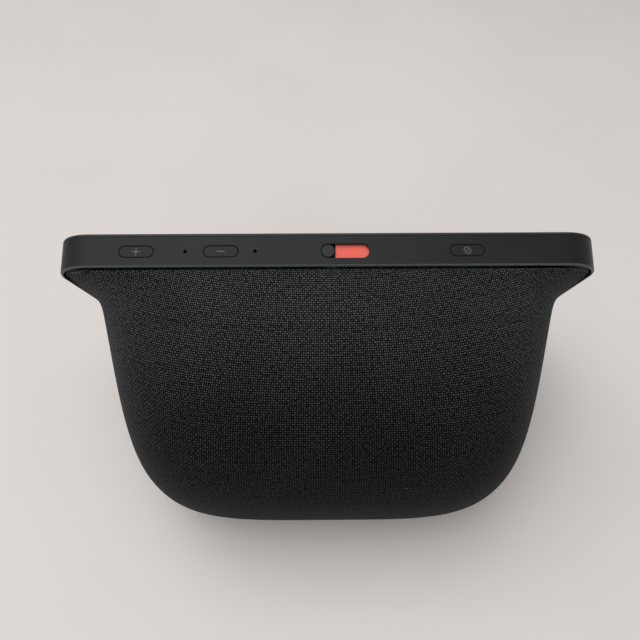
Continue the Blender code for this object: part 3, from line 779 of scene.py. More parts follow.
@dataclass(frozen=True)
class SoftRubber:
    """Matte rubber or foam with fine open pores."""

    name: str
    colour: tuple[float, float, float]
    pore: float = 0.35 * MM
    depth: float = 0.04 * MM
    roughness: float = 0.85

    def material(self) -> bpy.types.Material:
        """Builds the material.

        Returns:
            The finished material.
        """
        recipe = Recipe(self.name)
        where = recipe.place()
        pores = recipe.cells(where, self.pore).outputs["Distance"]
        dust = recipe.noise(where, 5 * MM, 4)
        worn = tuple(min(channel * 1.7 + 0.004, 1) for channel in self.colour)
        recipe.set(base_color=recipe.mix(recipe.spread(dust, 0.45, 0.8), self.colour, worn),
                   roughness=recipe.spread(dust, 0.3, 0.7, self.roughness - 0.08, self.roughness + 0.06))
        recipe.relief(pores, self.depth)
        return recipe.material


@dataclass(frozen=True)
class PressedPaper:
    """Pulp cone paper with short fibres pressed into it."""

    name: str
    colour: tuple[float, float, float]

    def material(self) -> bpy.types.Material:
        """Builds the material.

        Returns:
            The finished material.
        """
        recipe = Recipe(self.name)
        fibres = recipe.noise(recipe.place(size=(5, 1, 1)), 0.3 * MM, 4)
        crossing = recipe.noise(recipe.place(size=(1, 1, 5)), 0.3 * MM, 4)
        pulp = recipe.math("MAXIMUM", fibres, crossing)
        pale = tuple(channel * 2.2 for channel in self.colour)
        recipe.set(base_color=recipe.mix(recipe.spread(pulp, 0.45, 0.75), self.colour, pale),
                   roughness=recipe.spread(pulp, 0.4, 0.8, 0.72, 0.86))
        recipe.relief(pulp, 0.05 * MM)
        return recipe.material


@dataclass(frozen=True)
class PrintedFilm:
    """Thin film with fine parallel conductors under it."""

    name: str
    film: tuple[float, float, float] = (0.30, 0.13, 0.025)
    line: tuple[float, float, float] = (0.55, 0.30, 0.10)
    pitch: float = 0.9 * MM
    turn: tuple[float, float, float] = (0, 0, 0)

    def material(self) -> bpy.types.Material:
        """Builds the material.

        Returns:
            The finished material.
        """
        recipe = Recipe(self.name)
        across = recipe.split(recipe.place(turn=self.turn))[0]
        wave = recipe.math("SINE", recipe.math("MULTIPLY", across, 2 * math.pi / self.pitch))
        lines = recipe.spread(wave, 0.1, 0.5)
        crease = recipe.noise(recipe.place(), 4 * MM, 3)
        recipe.set(base_color=recipe.mix(lines, self.film, self.line),
                   roughness=recipe.spread(crease, 0.3, 0.7, 0.25, 0.38), coat_weight=0.4)
        recipe.relief(recipe.math("ADD", lines, crease), 0.02 * MM)
        return recipe.material


@dataclass(frozen=True)
class LayeredPanel:
    """Display or backlight sheet: an even field with a fine row structure."""

    name: str
    colour: tuple[float, float, float]
    roughness: float
    pitch: float = 0.25 * MM

    def material(self) -> bpy.types.Material:
        """Builds the material.

        Returns:
            The finished material.
        """
        recipe = Recipe(self.name)
        where = recipe.place()
        rows = recipe.math("SINE", recipe.math("MULTIPLY", recipe.split(where)[2], 2 * math.pi / self.pitch))
        haze = recipe.noise(where, 20 * MM, 2)
        deep = tuple(channel * 0.85 for channel in self.colour)
        recipe.set(base_color=recipe.mix(recipe.spread(haze, 0.35, 0.65), deep, self.colour),
                   roughness=recipe.spread(haze, 0.3, 0.7, self.roughness, self.roughness + 0.06))
        recipe.relief(rows, 0.004 * MM, 0.5)
        return recipe.material


@dataclass(frozen=True)
class CoatedLens:
    """Small dark lens with a bluish coating that deepens towards its middle."""

    name: str
    place: Matrix
    up: float = 79.2 * MM

    def material(self) -> bpy.types.Material:
        """Builds the material.

        Returns:
            The finished material.
        """
        recipe = Recipe(self.name)
        across, _, up = recipe.split(recipe.place(self.place.to_translation(), self.place.to_euler()))
        above = recipe.math("SUBTRACT", up, self.up)
        reach = recipe.math("SQRT", recipe.math("ADD", recipe.math("MULTIPLY", across, across),
                                                recipe.math("MULTIPLY", above, above)))
        blush = recipe.spread(reach, 0.1 * MM, 1.2 * MM)
        recipe.set(base_color=recipe.mix(blush, (0.004, 0.004, 0.012), (0.02, 0.012, 0.045)),
                   roughness=recipe.spread(recipe.noise(recipe.place(), 0.8 * MM), 0.3, 0.7, 0.03, 0.07),
                   coat_weight=1.0)
        return recipe.material


@dataclass(frozen=True)
class ScreenModule:
    """Where the leaning screen module stands, and the sizes that its pieces share.

    In its own frame X runs across, Y back from the glass and Z up the glass from its lower edge.
    """

    width: float = 147 * MM
    length: float = 84.6 * MM
    thickness: float = 9.1 * MM
    corner: float = 10.1 * MM
    glass: float = 0.7 * MM
    draft: float = 0.2 * MM
    control_line: float = 5 * MM
    tilt: float = math.radians(24)
    overall_depth: float = 91 * MM
    overall_height: float = 82 * MM
    base_level: float = 3 * MM

    @property
    def foot(self) -> float:
        """The height of the glass's lower edge."""
        return self.overall_height - self.length * math.cos(self.tilt)

    @property
    def placement(self) -> Matrix:
        """The module's frame in the world."""
        lean = Matrix.Rotation(-self.tilt, 4, "X")
        return Matrix.Translation((0, -self.overall_depth / 2, self.foot)) @ lean

    @property
    def top(self) -> float:
        """How far up the module its top edge stands at the line of the controls."""
        front = self.glass + GAP
        return self.length - self.draft * (self.control_line - front) / (self.thickness - front)

    def settle(self, piece: bpy.types.Object) -> bpy.types.Object:
        """Moves a piece from the module's frame to the world, and settles its place into its mesh.

        Args:
            piece: The piece, in the module's frame.

        Returns:
            The same piece, in the world.
        """
        Bench.hold(piece)
        piece.matrix_world = self.placement
        bpy.ops.object.transform_apply(location=True, rotation=True, scale=True)
        return piece

    def point(self, back: float, up: float) -> np.ndarray:
        """Moves a place in the module's middle plane to the world.

        Args:
            back: How far behind the glass's front it lies.
            up: How far up the module it lies.

        Returns:
            Its world (y, z).
        """
        sine, cosine = math.sin(self.tilt), math.cos(self.tilt)
        return np.array((-self.overall_depth / 2 + up * sine + back * cosine,
                         self.foot + up * cosine - back * sine))

    def behind_glass(self, point: Sequence[float]) -> float:
        """Returns how far a world (y, z) point lies behind the glass."""
        y, z = point
        return (y + self.overall_depth / 2) * math.cos(self.tilt) - (z - self.foot) * math.sin(self.tilt)

    def hinge(self) -> np.ndarray:
        """Finds the line where the module's back meets the base level.

        Returns:
            Its (y, z).
        """
        back = self.thickness + GAP
        up = (self.base_level - self.foot + back * math.sin(self.tilt)) / math.cos(self.tilt)
        return self.point(back, up)


@dataclass
class ScreenFrame:
    """Satin moulded frame round the screen, with every opening of its top edge."""

    module: ScreenModule
    wall: float = 2 * MM
    lip: float = 0.55 * MM
    rim_wall: float = 1 * MM
    rebate_depth: float = 1.4 * MM
    ledge_front: float = 5.7 * MM
    ledge_thickness: float = 2 * MM
    window: tuple[float, float] = (124 * MM, 10 * MM)
    opening_size: tuple[float, float] = (9.2 * MM, 3.25 * MM)
    button_at: dict[str, float] = field(
        default_factory=lambda: {"volume_up": 50.1 * MM, "volume_down": 28 * MM, "mute": -36.6 * MM})
    slot: tuple[float, float] = (12.7 * MM, 3.9 * MM)
    slot_at: float = -4.6 * MM
    skin_over_slot: float = 0.9 * MM
    pocket: tuple[float, float, float] = (37 * MM, 9 * MM, 3.5 * MM)
    microphone_at: tuple[float, float] = (37.3 * MM, 19 * MM)
    microphone_hole: float = 0.5 * MM
    chamfer: float = 0.08 * MM
    seam: float = 0.08 * MM

    def shell(self) -> bpy.types.Object:
        """Builds the frame's outer form: drafted towards the back, with soft rims.

        Returns:
            The form.
        """
        module = self.module
        front = module.glass + self.seam
        depth = module.thickness - front
        piece = Bench.slab("frame_shell", (module.width, depth, module.length),
                           (0, front + depth / 2, module.length / 2), module.corner, Axis.Y, 24)
        rear = module.thickness - 0.1 * MM
        Bench.resize(piece, Part.VERT, lambda vert: vert.co.y > rear,
                     (1 - 2 * module.draft / module.width, 1, 1 - 2 * module.draft / module.length),
                     (0, module.thickness, module.length / 2))
        Bench.round_edges(piece, lambda edge: not Axis.Y.along(edge) and edge.verts[0].co.y > rear,
                          self.lip, 4)
        Bench.round_edges(piece, lambda edge: not Axis.Y.along(edge) and edge.verts[0].co.y < front + 0.1 * MM
                          and edge.calc_face_angle(0) > 1, 0.1 * MM, 2)
        return piece

    def hollows(self) -> Iterable[bpy.types.Object]:
        """Makes the tools for the two hollows, the window between them and the shutter's pocket.

        Returns:
            The tools, one at a time.
        """
        module = self.module
        front = module.glass + GAP
        inner = (module.width - 2 * self.wall, module.length - 2 * self.wall)
        middle = module.length / 2
        front_depth = self.ledge_front - front + MM
        rear_start = self.ledge_front + self.ledge_thickness
        rear_depth = module.thickness - rear_start + MM
        corner = module.corner - self.wall
        yield Bench.slab("front_hollow", (inner[0], front_depth, inner[1]),
                         (0, self.ledge_front - front_depth / 2, middle), corner, Axis.Y, 10)
        yield Bench.slab("rear_hollow", (inner[0], rear_depth, inner[1]),
                         (0, rear_start + rear_depth / 2, middle), corner, Axis.Y, 10)
        rebate = self.wall - self.rim_wall
        yield Bench.slab("rear_rebate", (inner[0] + 2 * rebate, 2 * self.rebate_depth, inner[1] + 2 * rebate),
                         (0, module.thickness, middle), corner + rebate, Axis.Y, 16)
        window_width, window_bottom = self.window
        window_top = module.length - self.wall
        yield Bench.slab("window", (window_width, 4 * MM, window_top - window_bottom),
                         (0, self.ledge_front + MM, (window_top + window_bottom) / 2), 1 * MM, Axis.Y, 3)
        height = self.wall - self.skin_over_slot + MM
        width, depth, back = self.pocket
        yield Bench.block("shutter_pocket", (width, depth, height),
                          (self.slot_at, back, module.length - self.skin_over_slot - height / 2))

    def opening(self, name: str, at: float, size: Sequence[float], corner: float,
                steps: int) -> bpy.types.Object:
        """Returns the tool for one opening of the top edge, flared at the surface.

        Args:
            name: The tool's name.
            at: Its place across the module.
            size: Its width and depth.
            corner: Its corner radius.
            steps: The facets in each corner.

        Returns:
            The tool.
        """
        line = self.module.control_line
        top = self.module.top
        below = 5 * MM
        foot = top - self.chamfer
        piece = Bench.slab(name, (*size, below), (at, line, foot - below / 2), corner, Axis.Z, steps)
        upper = lambda face: face.normal.z > 0.9
        flare = 2 * self.chamfer
        Bench.grow(piece, upper, (0, 0, 2 * self.chamfer),
                   ((size[0] + 2 * flare) / size[0], (size[1] + 2 * flare) / size[1], 1), (at, line, foot))
        Bench.grow(piece, upper, (0, 0, 3 * MM))
        return piece

    def openings(self) -> Iterable[bpy.types.Object]:
        """Makes the tools for the button holes, the shutter's slot and the microphone holes.

        Returns:
            The tools, one at a time.
        """
        corner = 0.499 * self.opening_size[1]
        for name, at in self.button_at.items():
            yield self.opening(f"{name}_hole", at, self.opening_size, corner, 12)
        yield self.opening("slot", self.slot_at, self.slot, 0.499 * self.slot[1], 14)
        for number, at in enumerate(self.microphone_at):
            yield Bench.rod(f"microphone_hole_{number}", self.microphone_hole, 8 * MM,
                            (at, self.module.control_line, self.module.length), Axis.Z, 24)

    def build(self) -> None:
        """Models and dresses the frame."""
        piece = self.shell()
        for tool in (*self.hollows(), *self.openings()):
            Bench.work(piece, tool)
        Bench.done(piece)
        self.module.settle(piece)
        look = MouldedPlastic("satin_frame_plastic", (0.0125, 0.0132, 0.0145), 0.43, 0.22 * MM, 0.008 * MM,
                              gloss=0.19, place=self.module.placement)
        Bench.deliver(piece, Body.DEVICE, look.material(), "display_frame", ["display_frame"])


@dataclass
class CoverGlass:
    """Cover glass with a softened edge, lying flush in front of the frame."""

    module: ScreenModule
    edge: float = 0.22 * MM

    def build(self) -> None:
        """Models and dresses the glass."""
        module = self.module
        piece = Bench.slab("cover_glass", (module.width, module.glass, module.length),
                           (0, module.glass / 2, module.length / 2), module.corner, Axis.Y, 24)
        Bench.round_edges(piece, lambda edge: edge.calc_face_angle(0) > 1 and edge.verts[0].co.y < 0.1 * MM
                          and edge.verts[1].co.y < 0.1 * MM, self.edge, 4)
        Bench.round_edges(piece, lambda edge: edge.calc_face_angle(0) > 1, 0.08 * MM, 2)
        Bench.done(piece)
        module.settle(piece)
        look = ScreenGlass("printed_black_glass", module.placement)
        Bench.deliver(piece, Body.DEVICE, look.material(), "front_glass", ["front_glass"])


@dataclass
class TopButtons:
    """Three pill shaped keys in the top edge, each with a small printed sign."""

    module: ScreenModule
    frame: ScreenFrame
    proud: float = 0.04 * MM
    crown: float = 0.14 * MM
    clearance: float = 0.13 * MM
    flange: float = 1.2 * MM
    flange_reach: tuple[float, float] = (2 * MM, 1.6 * MM)
    ink: float = 0.02 * MM
    stroke: float = 0.26 * MM
    sign: float = 2.1 * MM
    ring: float = 0.42
    ring_gap: float = math.radians(32)
    signs: dict[str, Sign] = field(default_factory=lambda: {
        "volume_up": Sign.PLUS, "volume_down": Sign.MINUS, "mute": Sign.STRUCK_RING})

    def cap(self, name: str, at: float) -> bpy.types.Object:
        """Returns one key with its crowned top and the flange that keeps it in.

        Args:
            name: The key's name.
            at: Its place across the module.

        Returns:
            The key in the module's frame.
        """
        line = self.module.control_line
        top = self.module.top + self.proud
        under = self.module.length - self.frame.wall - GAP - self.flange
        width, depth = (side - 2 * self.clearance for side in self.frame.opening_size)
        piece = Bench.slab(f"{name}_key", (width, depth, top - under), (at, line, (top + under) / 2),
                           0.499 * depth, Axis.Z, 14)
        rim = top - 0.1 * MM
        Bench.round_edges(piece, lambda edge: edge.calc_face_angle(0) > 1 and edge.verts[0].co.z > rim
                          and edge.verts[1].co.z > rim, self.crown, 4)
        flange = Bench.slab(f"{name}_flange",
                            (width + self.flange_reach[0], depth + self.flange_reach[1], self.flange),
                            (at, line, under + self.flange / 2), 1 * MM, Axis.Z, 4)
        Bench.work(piece, flange, Joinery.ADD)
        return Bench.done(piece)

    def bar(self, name: str, at: float, length: float) -> bpy.types.Object:
        """Returns one straight stroke of a sign, with round ends, along X.

        Args:
            name: The stroke's name.
            at: The key's place across the module.
            length: The stroke's length.

        Returns:
            The stroke.
        """
        size = (length, self.stroke, 2 * self.ink)
        return Bench.slab(name, size, (at, self.module.control_line, self.module.top + self.proud),
                          0.48 * self.stroke, Axis.Z, 5)

    def arc(self, name: str, at: float, start: float, sweep: float) -> bpy.types.Object:
        """Returns one curved stroke of a sign, spun about the key's middle.

        Args:
            name: The stroke's name.
            at: The key's place across the module.
            start: The angle where the stroke starts, from +X.
            sweep: The angle that it covers.

        Returns:
            The stroke.
        """
        centre = Vector((at, self.module.control_line, self.module.top + self.proud))
        spoke = Matrix.Rotation(start, 4, "Z") @ Matrix.Translation((self.ring * self.sign, 0, 0))
        Bench.clear()
        bpy.ops.mesh.primitive_plane_add(size=1, rotation=(math.pi / 2, 0, 0))
        piece = Bench.named(name)
        size = Matrix.Diagonal((self.stroke, 1, 2 * self.ink, 1))
        piece.data.transform(Matrix.Translation(centre) @ spoke @ size)
        Bench.pick(piece, Part.FACE, EVERYTHING)
        bpy.ops.mesh.spin(steps=16, angle=-sweep, center=centre, axis=(0, 0, 1))
        Bench.close()
        return piece

    def mark(self, name: str, at: float, sign: Sign) -> bpy.types.Object:
        """Returns the printed sign of one key.

        Args:
            name: The key's name.
            at: Its place across the module.
            sign: Which sign it carries.

        Returns:
            The sign in the module's frame.
        """
        line = self.module.control_line
        centre = (at, line, self.module.top)
        strokes = [self.bar(f"{name}_sign", at, self.sign)]
        if sign is Sign.PLUS:
            arm = (self.sign - self.stroke) / 2
            for side in (1, -1):
                middle = (at, line + side * (self.stroke + arm) / 2, self.module.top + self.proud)
                strokes.append(Bench.slab(f"{name}_arm_{side}", (self.stroke, arm, 2 * self.ink), middle,
                                          0.1 * self.stroke, Axis.Z, 2))
        if sign is Sign.STRUCK_RING:
            strokes[0].data.transform(Matrix.Translation(centre) @ Matrix.Rotation(math.radians(45), 4, "Z")
                                      @ Matrix.Translation(-Vector(centre)))
            gap = self.ring_gap
            for number, start in enumerate((math.radians(45), math.radians(225))):
                strokes.append(self.arc(f"{name}_arc_{number}", at, start + gap, math.pi - 2 * gap))
        piece = Bench.join(strokes)
        return Bench.done(piece)

    def build(self) -> None:
        """Models and dresses the three keys."""
        look = MouldedPlastic("key_plastic", (0.0118, 0.0125, 0.0138), 0.45, 0.2 * MM, 0.006 * MM,
                              gloss=0.19).material()
        ink = MouldedPlastic("key_sign_ink", (0.10, 0.10, 0.105), 0.6, 0.1 * MM, 0.004 * MM).material()
        for name, at in self.frame.button_at.items():
            body = Body(name)
            cap = self.module.settle(self.cap(name, at))
            Bench.deliver(cap, body, look, f"{name}_button", [f"{name}_button"])
            mark = self.module.settle(self.mark(name, at, self.signs[name]))
            Bench.deliver(mark, body, ink, f"{name}_button")


@dataclass
class CameraShutter:
    """Sliding camera cover: a round thumb knob and the red strip that shows beside it."""

    module: ScreenModule
    frame: ScreenFrame
    knob_radius: float = 1.75 * MM
    knob_at: float = -0.1 * MM
    knob_rise: float = 0.1 * MM
    plate: float = 0.8 * MM
    strip_depth: float = 5.2 * MM
    strip_overlap: float = 0.8 * MM

    def knob(self) -> bpy.types.Object:
        """Builds the knob, dished for the fingertip.

        Returns:
            The knob.
        """
        module = self.module
        top = module.top + self.knob_rise
        bottom = module.length - self.frame.skin_over_slot - GAP - self.plate
        piece = Bench.rod("shutter_thumb", self.knob_radius, top - bottom,
                          (self.knob_at, module.control_line, (top + bottom) / 2), Axis.Z, 64)
        Bench.round_edges(piece, lambda edge: min(vert.co.z for vert in edge.verts) > top - 0.1 * MM,
                          0.18 * MM, 4)
        Bench.sink(piece, lambda face: face.normal.z > 0.9 and len(face.verts) > 8, 0.35 * MM, -0.06 * MM)
        Bench.done(piece)
        return module.settle(piece)

    def strip(self) -> bpy.types.Object:
        """Builds the red strip that fills the slot while the camera is covered.

        Returns:
            The strip.
        """
        start = self.knob_at - self.knob_radius - 0.2 * MM
        end = self.frame.slot_at - self.frame.slot[0] / 2 - self.strip_overlap
        top = self.module.length - self.frame.skin_over_slot - GAP
        middle = ((start + end) / 2, self.module.control_line, top - self.plate / 2)
        piece = Bench.slab("shutter_strip", (start - end, self.strip_depth, self.plate), middle,
                           0.4 * MM, Axis.Z, 4)
        Bench.soften(piece, 0.1 * MM, 2, 60)
        Bench.done(piece)
        return self.module.settle(piece)

    def build(self) -> None:
        """Models and dresses the knob and the strip."""
        dark = MouldedPlastic("thumb_plastic", (0.014, 0.0145, 0.0155), 0.42, 0.2 * MM, 0.006 * MM,
                              gloss=0.25)
        red = MouldedPlastic("warning_red_plastic", (0.86, 0.115, 0.075), 0.5, 0.25 * MM, 0.006 * MM,
                             cloud=5 * MM, change=0.06)
        Bench.deliver(self.knob(), Body.SHUTTER, dark.material(), "shutter_knob", ["shutter_knob"])
        Bench.deliver(self.strip(), Body.SHUTTER, red.material(), "shutter_indicator", ["shutter_indicator"])


@dataclass
class FabricBody:
    """Knitted cover stretched over the speaker body, from the screen's back down to the base.

    Sections fan out from the line where the screen's back meets the base. Each is a superellipse,
    squarer near the screen.
    """

    module: ScreenModule
    rear: float = 45.5 * MM
    rear_level: float = 31.8 * MM
    rear_foot: float = 12.1 * MM
    top_step: float = 1 * MM
    top_slope: float = math.radians(18)
    fullness: tuple[float, float, float] = (0.48, 0.48, 0.58)
    half_width: float = 71.1 * MM
    rim_half_width: float = 71.9 * MM
    rim_flare: float = 1.4 * MM
    narrowing: float = 0.218
    narrowing_ease: float = 0.71
    tuck: tuple[float, float] = (7 * MM, 12 * MM)
    corner_powers: tuple[float, float, float] = (34, 5.58, 4.36)
    corner_blends: tuple[float, float] = (1.73 * MM, 20 * MM)
    cloth: float = 0.6 * MM
    hem: float = 0.8 * MM
    ridge_back: float = 26.4 * MM
    ridge_bend: float = 1.3
    ridge_height: float = 0.55 * MM
    ridge_width: float = 0.8 * MM
    ridge_end: float = 62 * MM
    ridge_fade: float = 14 * MM
    ridge_level: float = 58 * MM
    ridge_rise: float = 6 * MM
    section_samples: int = 1200
    inlet_level: float = 9.6 * MM
    inlet_hole: float = 5.7 * MM

    def profile(self, top_steps: int, rear_steps: int) -> list[np.ndarray]:
        """Returns the middle line in (y, z), from the screen's top edge over the rear to the base.

        Args:
            top_steps: The steps over the top, down to the rearmost place.
            rear_steps: The steps from there to the base.

        Returns:
            The points of the line.
        """
        module = self.module
        start = module.point(module.thickness + GAP, module.length - self.top_step)
        bulge = np.array((self.rear, self.rear_level))
        end = np.array((self.rear - self.rear_foot, module.base_level))
        reach = bulge[0] - start[0]
        drop = start[1] - bulge[1]
        under = bulge[1] - end[1]
        top_full, rear_full, under_full = self.fullness
        slope = np.array((math.cos(self.top_slope), -math.sin(self.top_slope)))
        over = (start, start + top_full * reach * slope, bulge + np.array((0, rear_full * drop)), bulge)
        below = (bulge, bulge - np.array((0, under_full * under)),
                 end + np.array((0.35 * self.rear_foot, 0.25 * under)), end)
        return (self.bezier(over, np.linspace(0, 1, top_steps + 1) ** 1.4)
                + self.bezier(below, np.linspace(0, 1, rear_steps + 1)[1:]))

    @staticmethod
    def bezier(points: Sequence[np.ndarray], ratios: Iterable[float]) -> list[np.ndarray]:
        """Returns points of a cubic Bezier curve at some ratios.

        Args:
            points: The four control points.
            ratios: The places along the curve, from 0 to 1.

        Returns:
            The points.
        """
        found = []
        for ratio in ratios:
            rest = 1 - ratio
            weights = (rest**3, 3 * ratio * rest**2, 3 * ratio**2 * rest, ratio**3)
            found.append(sum(weight * np.asarray(corner) for weight, corner in zip(weights, points)))
        return found

    def side(self, y: float, z: float, inset: float) -> float:
        """Returns the half width of the body at a (y, z) place, drawn in by an inset.

        Args:
            y: How far back the place is.
            z: How high it is.
            inset: How far the side is drawn in.

        Returns:
            The half width.
        """
        module = self.module
        behind = max(module.behind_glass((y, z)) - module.thickness - GAP, 0)
        flare = (self.rim_half_width - self.half_width) * math.exp(-behind / self.rim_flare)
        wide = self.half_width - self.narrowing * behind + self.narrowing_ease * behind**2 + flare
        depth, height = self.tuck
        ratio = max(1 - (z - module.base_level) / height, 0)
        return wide - depth * ratio**2 - inset * math.hypot(1, 2 * depth * ratio / height)

    def power(self, tip: Sequence[float]) -> float:
        """Returns the superellipse power of the section that ends at a tip.

        Args:
            tip: The (y, z) of the section's middle.

        Returns:
            The power.
        """
        behind = max(self.module.behind_glass(tip) - self.module.thickness - GAP, 0)
        square, near, far = self.corner_powers
        quick, slow = (math.exp(-behind / reach) for reach in self.corner_blends)
        return 1 / (quick / square + (1 - quick) / (far + (near - far) * slow))

    def section(self, tip: Sequence[float], inset: float, count: int) -> np.ndarray:
        """Returns half of one section, from its side at the base to its middle.

        Args:
            tip: The (y, z) of its middle.
            inset: How far the side is drawn in.
            count: The number of points.

        Returns:
            The points, spread evenly along the section.
        """
        hinge = self.module.hinge()
        power = self.power(tip)
        dense = []
        for angle in np.linspace(0, math.pi / 2, self.section_samples) ** 3 / (math.pi / 2) ** 2:
            y, z = hinge + math.sin(angle) ** (2 / power) * (np.asarray(tip) - hinge)
            dense.append((self.side(y, z, inset) * max(math.cos(angle), 0) ** (2 / power), y, z))
        points = np.array(dense)
        points[-1, 0] = 0
        run = np.concatenate(((0,), np.cumsum(np.linalg.norm(np.diff(points, axis=0), axis=1))))
        even = np.linspace(0, run[-1], count)
        return np.stack([np.interp(even, run, points[:, axis]) for axis in range(3)], axis=1)

    def rows(self, top_steps: int = 110, rear_steps: int = 26, count: int = 84) -> np.ndarray:
        """Returns the +X half of the cloth's outer face, row by row, with a turned hem at both ends.

        Args:
            top_steps: The steps over the top.
            rear_steps: The steps from the rearmost place to the base.
            count: The points in a row.

        Returns:
            The points, row by row.
        """
        line = self.profile(top_steps, rear_steps)
        tips = []
        start, end = line[0], line[-1]
        ahead = (line[1] - start) / np.linalg.norm(line[1] - start)
        inward = np.array((ahead[1], -ahead[0]))
        turns = [math.radians(angle) for angle in (0, 22.5, 45, 67.5)]
        for turn in turns:
            sunk = self.hem * (1 - math.sin(turn))
            tips.append((start + ahead * self.hem * (1 - math.cos(turn)) + inward * sunk, sunk))
        tips += [(tip, 0.0) for tip in line[1:-1]
                 if np.linalg.norm(tip - start) > 1.2 * self.hem and tip[1] > end[1] + 1.2 * self.hem]
        closing = (end - line[-2]) / np.linalg.norm(end - line[-2])
        inward = np.array((closing[1], -closing[0]))
        for turn in reversed(turns):
            sunk = self.hem * (1 - math.sin(turn))
            tips.append((end - closing * self.hem * (1 - math.cos(turn)) + inward * sunk, sunk))
        return np.array([self.section(tip, sunk, count) for tip, sunk in tips])

    def ridged(self, rows: np.ndarray) -> np.ndarray:
        """Returns the rows with the faint ridge that the housing's edge raises in the cloth.

        Args:
            rows: The smooth rows.

        Returns:
            The rows with the ridge.
        """
        module = self.module
        down = np.gradient(rows, axis=0)
        along = np.gradient(rows, axis=1)
        normal = np.cross(along, down)
        normal /= np.linalg.norm(normal, axis=2, keepdims=True) + 1e-12
        back = (rows[..., 1] + module.overall_depth / 2) * math.cos(module.tilt) \
            - (rows[..., 2] - module.foot) * math.sin(module.tilt)
        middle = self.ridge_back - self.ridge_bend * rows[..., 0] ** 2
        near_end = np.clip((self.ridge_end - rows[..., 0]) / self.ridge_fade, 0, 1)
        upper = np.clip((rows[..., 2] - self.ridge_level) / self.ridge_rise, 0, 1)
        height = self.ridge_height * np.exp(-((back - middle) / self.ridge_width) ** 2) * near_end * upper
        return rows + normal * height[..., None]

    def skin(self) -> bpy.types.Object:
        """Builds the cloth as one curved sheet over both halves, still without thickness.

        Returns:
            The sheet.
        """
        rows = self.ridged(self.rows())
        build = bmesh.new()
        grid = []
        for row in rows:
            right = [tuple(point) for point in row]
            left = [(-x, y, z) for x, y, z in reversed(right[:-1])]
            grid.append([build.verts.new(point) for point in right + left])
        for upper, lower in zip(grid, grid[1:]):
            for index in range(len(upper) - 1):
                build.faces.new((upper[index], upper[index + 1], lower[index + 1], lower[index]))
        bmesh.ops.remove_doubles(build, verts=build.verts, dist=0.00001)
        bmesh.ops.recalc_face_normals(build, faces=build.faces)
        mesh = bpy.data.meshes.new("fabric_skin")
        build.to_mesh(mesh)
        build.free()
        piece = bpy.data.objects.new("fabric_skin", mesh)
        bpy.context.scene.collection.objects.link(piece)
        rearmost = max(mesh.polygons, key=lambda face: face.center.y)
        if rearmost.normal.y < 0:
            mesh.flip_normals()
        return piece

    def lay_flat(self, piece: bpy.types.Object) -> tuple[float, float, float]:
        """Unwraps the cloth to its flat cut, in metres, with the stitches running down its middle.

        Args:
            piece: The cloth without thickness.

        Returns:
            The flat cut's width, length and area.
        """
        mesh = piece.data
        mesh.uv_layers.new(name="Cloth")
        Bench.pick(piece, Part.FACE, EVERYTHING)
        bpy.ops.uv.unwrap(method="MINIMUM_STRETCH", margin=0, iterations=12)
        Bench.close()
        layer = mesh.uv_layers["Cloth"].uv
        flat = np.zeros(len(layer) * 2)
        layer.foreach_get("vector", flat)
        flat = flat.reshape(-1, 2)
        spot = np.array([mesh.vertices[loop.vertex_index].co[:] for loop in mesh.loops])
        middle = np.abs(spot[:, 0]) < 0.01 * MM
        high = flat[middle][np.argmax(spot[middle][:, 2])]
        low = flat[middle][np.argmin(spot[middle][:, 2])]
        lean = math.atan2(*(high - low))
        turn = np.array(((math.cos(lean), -math.sin(lean)), (math.sin(lean), math.cos(lean))))
        flat = (flat - high) @ turn.T
        right = flat[spot[:, 0] > 20 * MM][:, 0].mean()
        if right < 0:
            flat[:, 0] *= -1
        surface = sum(face.area for face in mesh.polygons)
        covered = 0.0
        for face in mesh.polygons:
            ring = flat[list(face.loop_indices)]
            after = np.roll(ring, -1, axis=0)
            covered += abs(float(np.sum(ring[:, 0] * after[:, 1] - after[:, 0] * ring[:, 1]))) / 2
        flat *= math.sqrt(surface / covered)
        layer.foreach_set("vector", flat.ravel())
        width, length = flat.max(axis=0) - flat.min(axis=0)
        return float(width), float(length), surface

    def build(self) -> None:
        piece = self.skin()
        width, length, area = self.lay_flat(piece)
        Bench.hold(piece)
        step = piece.modifiers.new("Cloth thickness", "SOLIDIFY")
        step.thickness = self.cloth
        step.offset = -1
        step.use_even_offset = False
        bpy.ops.object.modifier_apply(modifier=step.name)
        Bench.work(piece, Bench.rod("inlet_hole", self.inlet_hole, 40 * MM,
                                    (0, self.rear, self.inlet_level), Axis.Y))
        Bench.hold(piece)
        bpy.ops.object.shade_smooth_by_angle(angle=math.radians(50))
        look = KnitFabric("charcoal_knit").material()
        Bench.deliver(piece, Body.DEVICE, look, "fabric_cover", ["fabric_cover"])
        LOG.info("cloth cut: %.1f x %.1f mm, %.1f square cm", width / MM, length / MM, area * 1e4)

    def outline(self, inset: float, count: int = 48) -> list[tuple[float, float]]:
        """Returns the closed outline of the base in (x, y), drawn in by an inset.

        Args:
            inset: How far it is drawn in.
            count: The points along one half.

        Returns:
            The points, in order.
        """
        tip = self.profile(4, 1)[-1] - np.array((inset, 0))
        half = self.section(tip, inset, count)
        front = self.module.hinge()[0] + inset
        corner = (float(np.interp(front, half[:, 1], half[:, 0])), front)
        right = [corner] + [(x, y) for x, y, _ in half if y > front + MM]
        return right + [(-x, y) for x, y in reversed(right[:-1])]


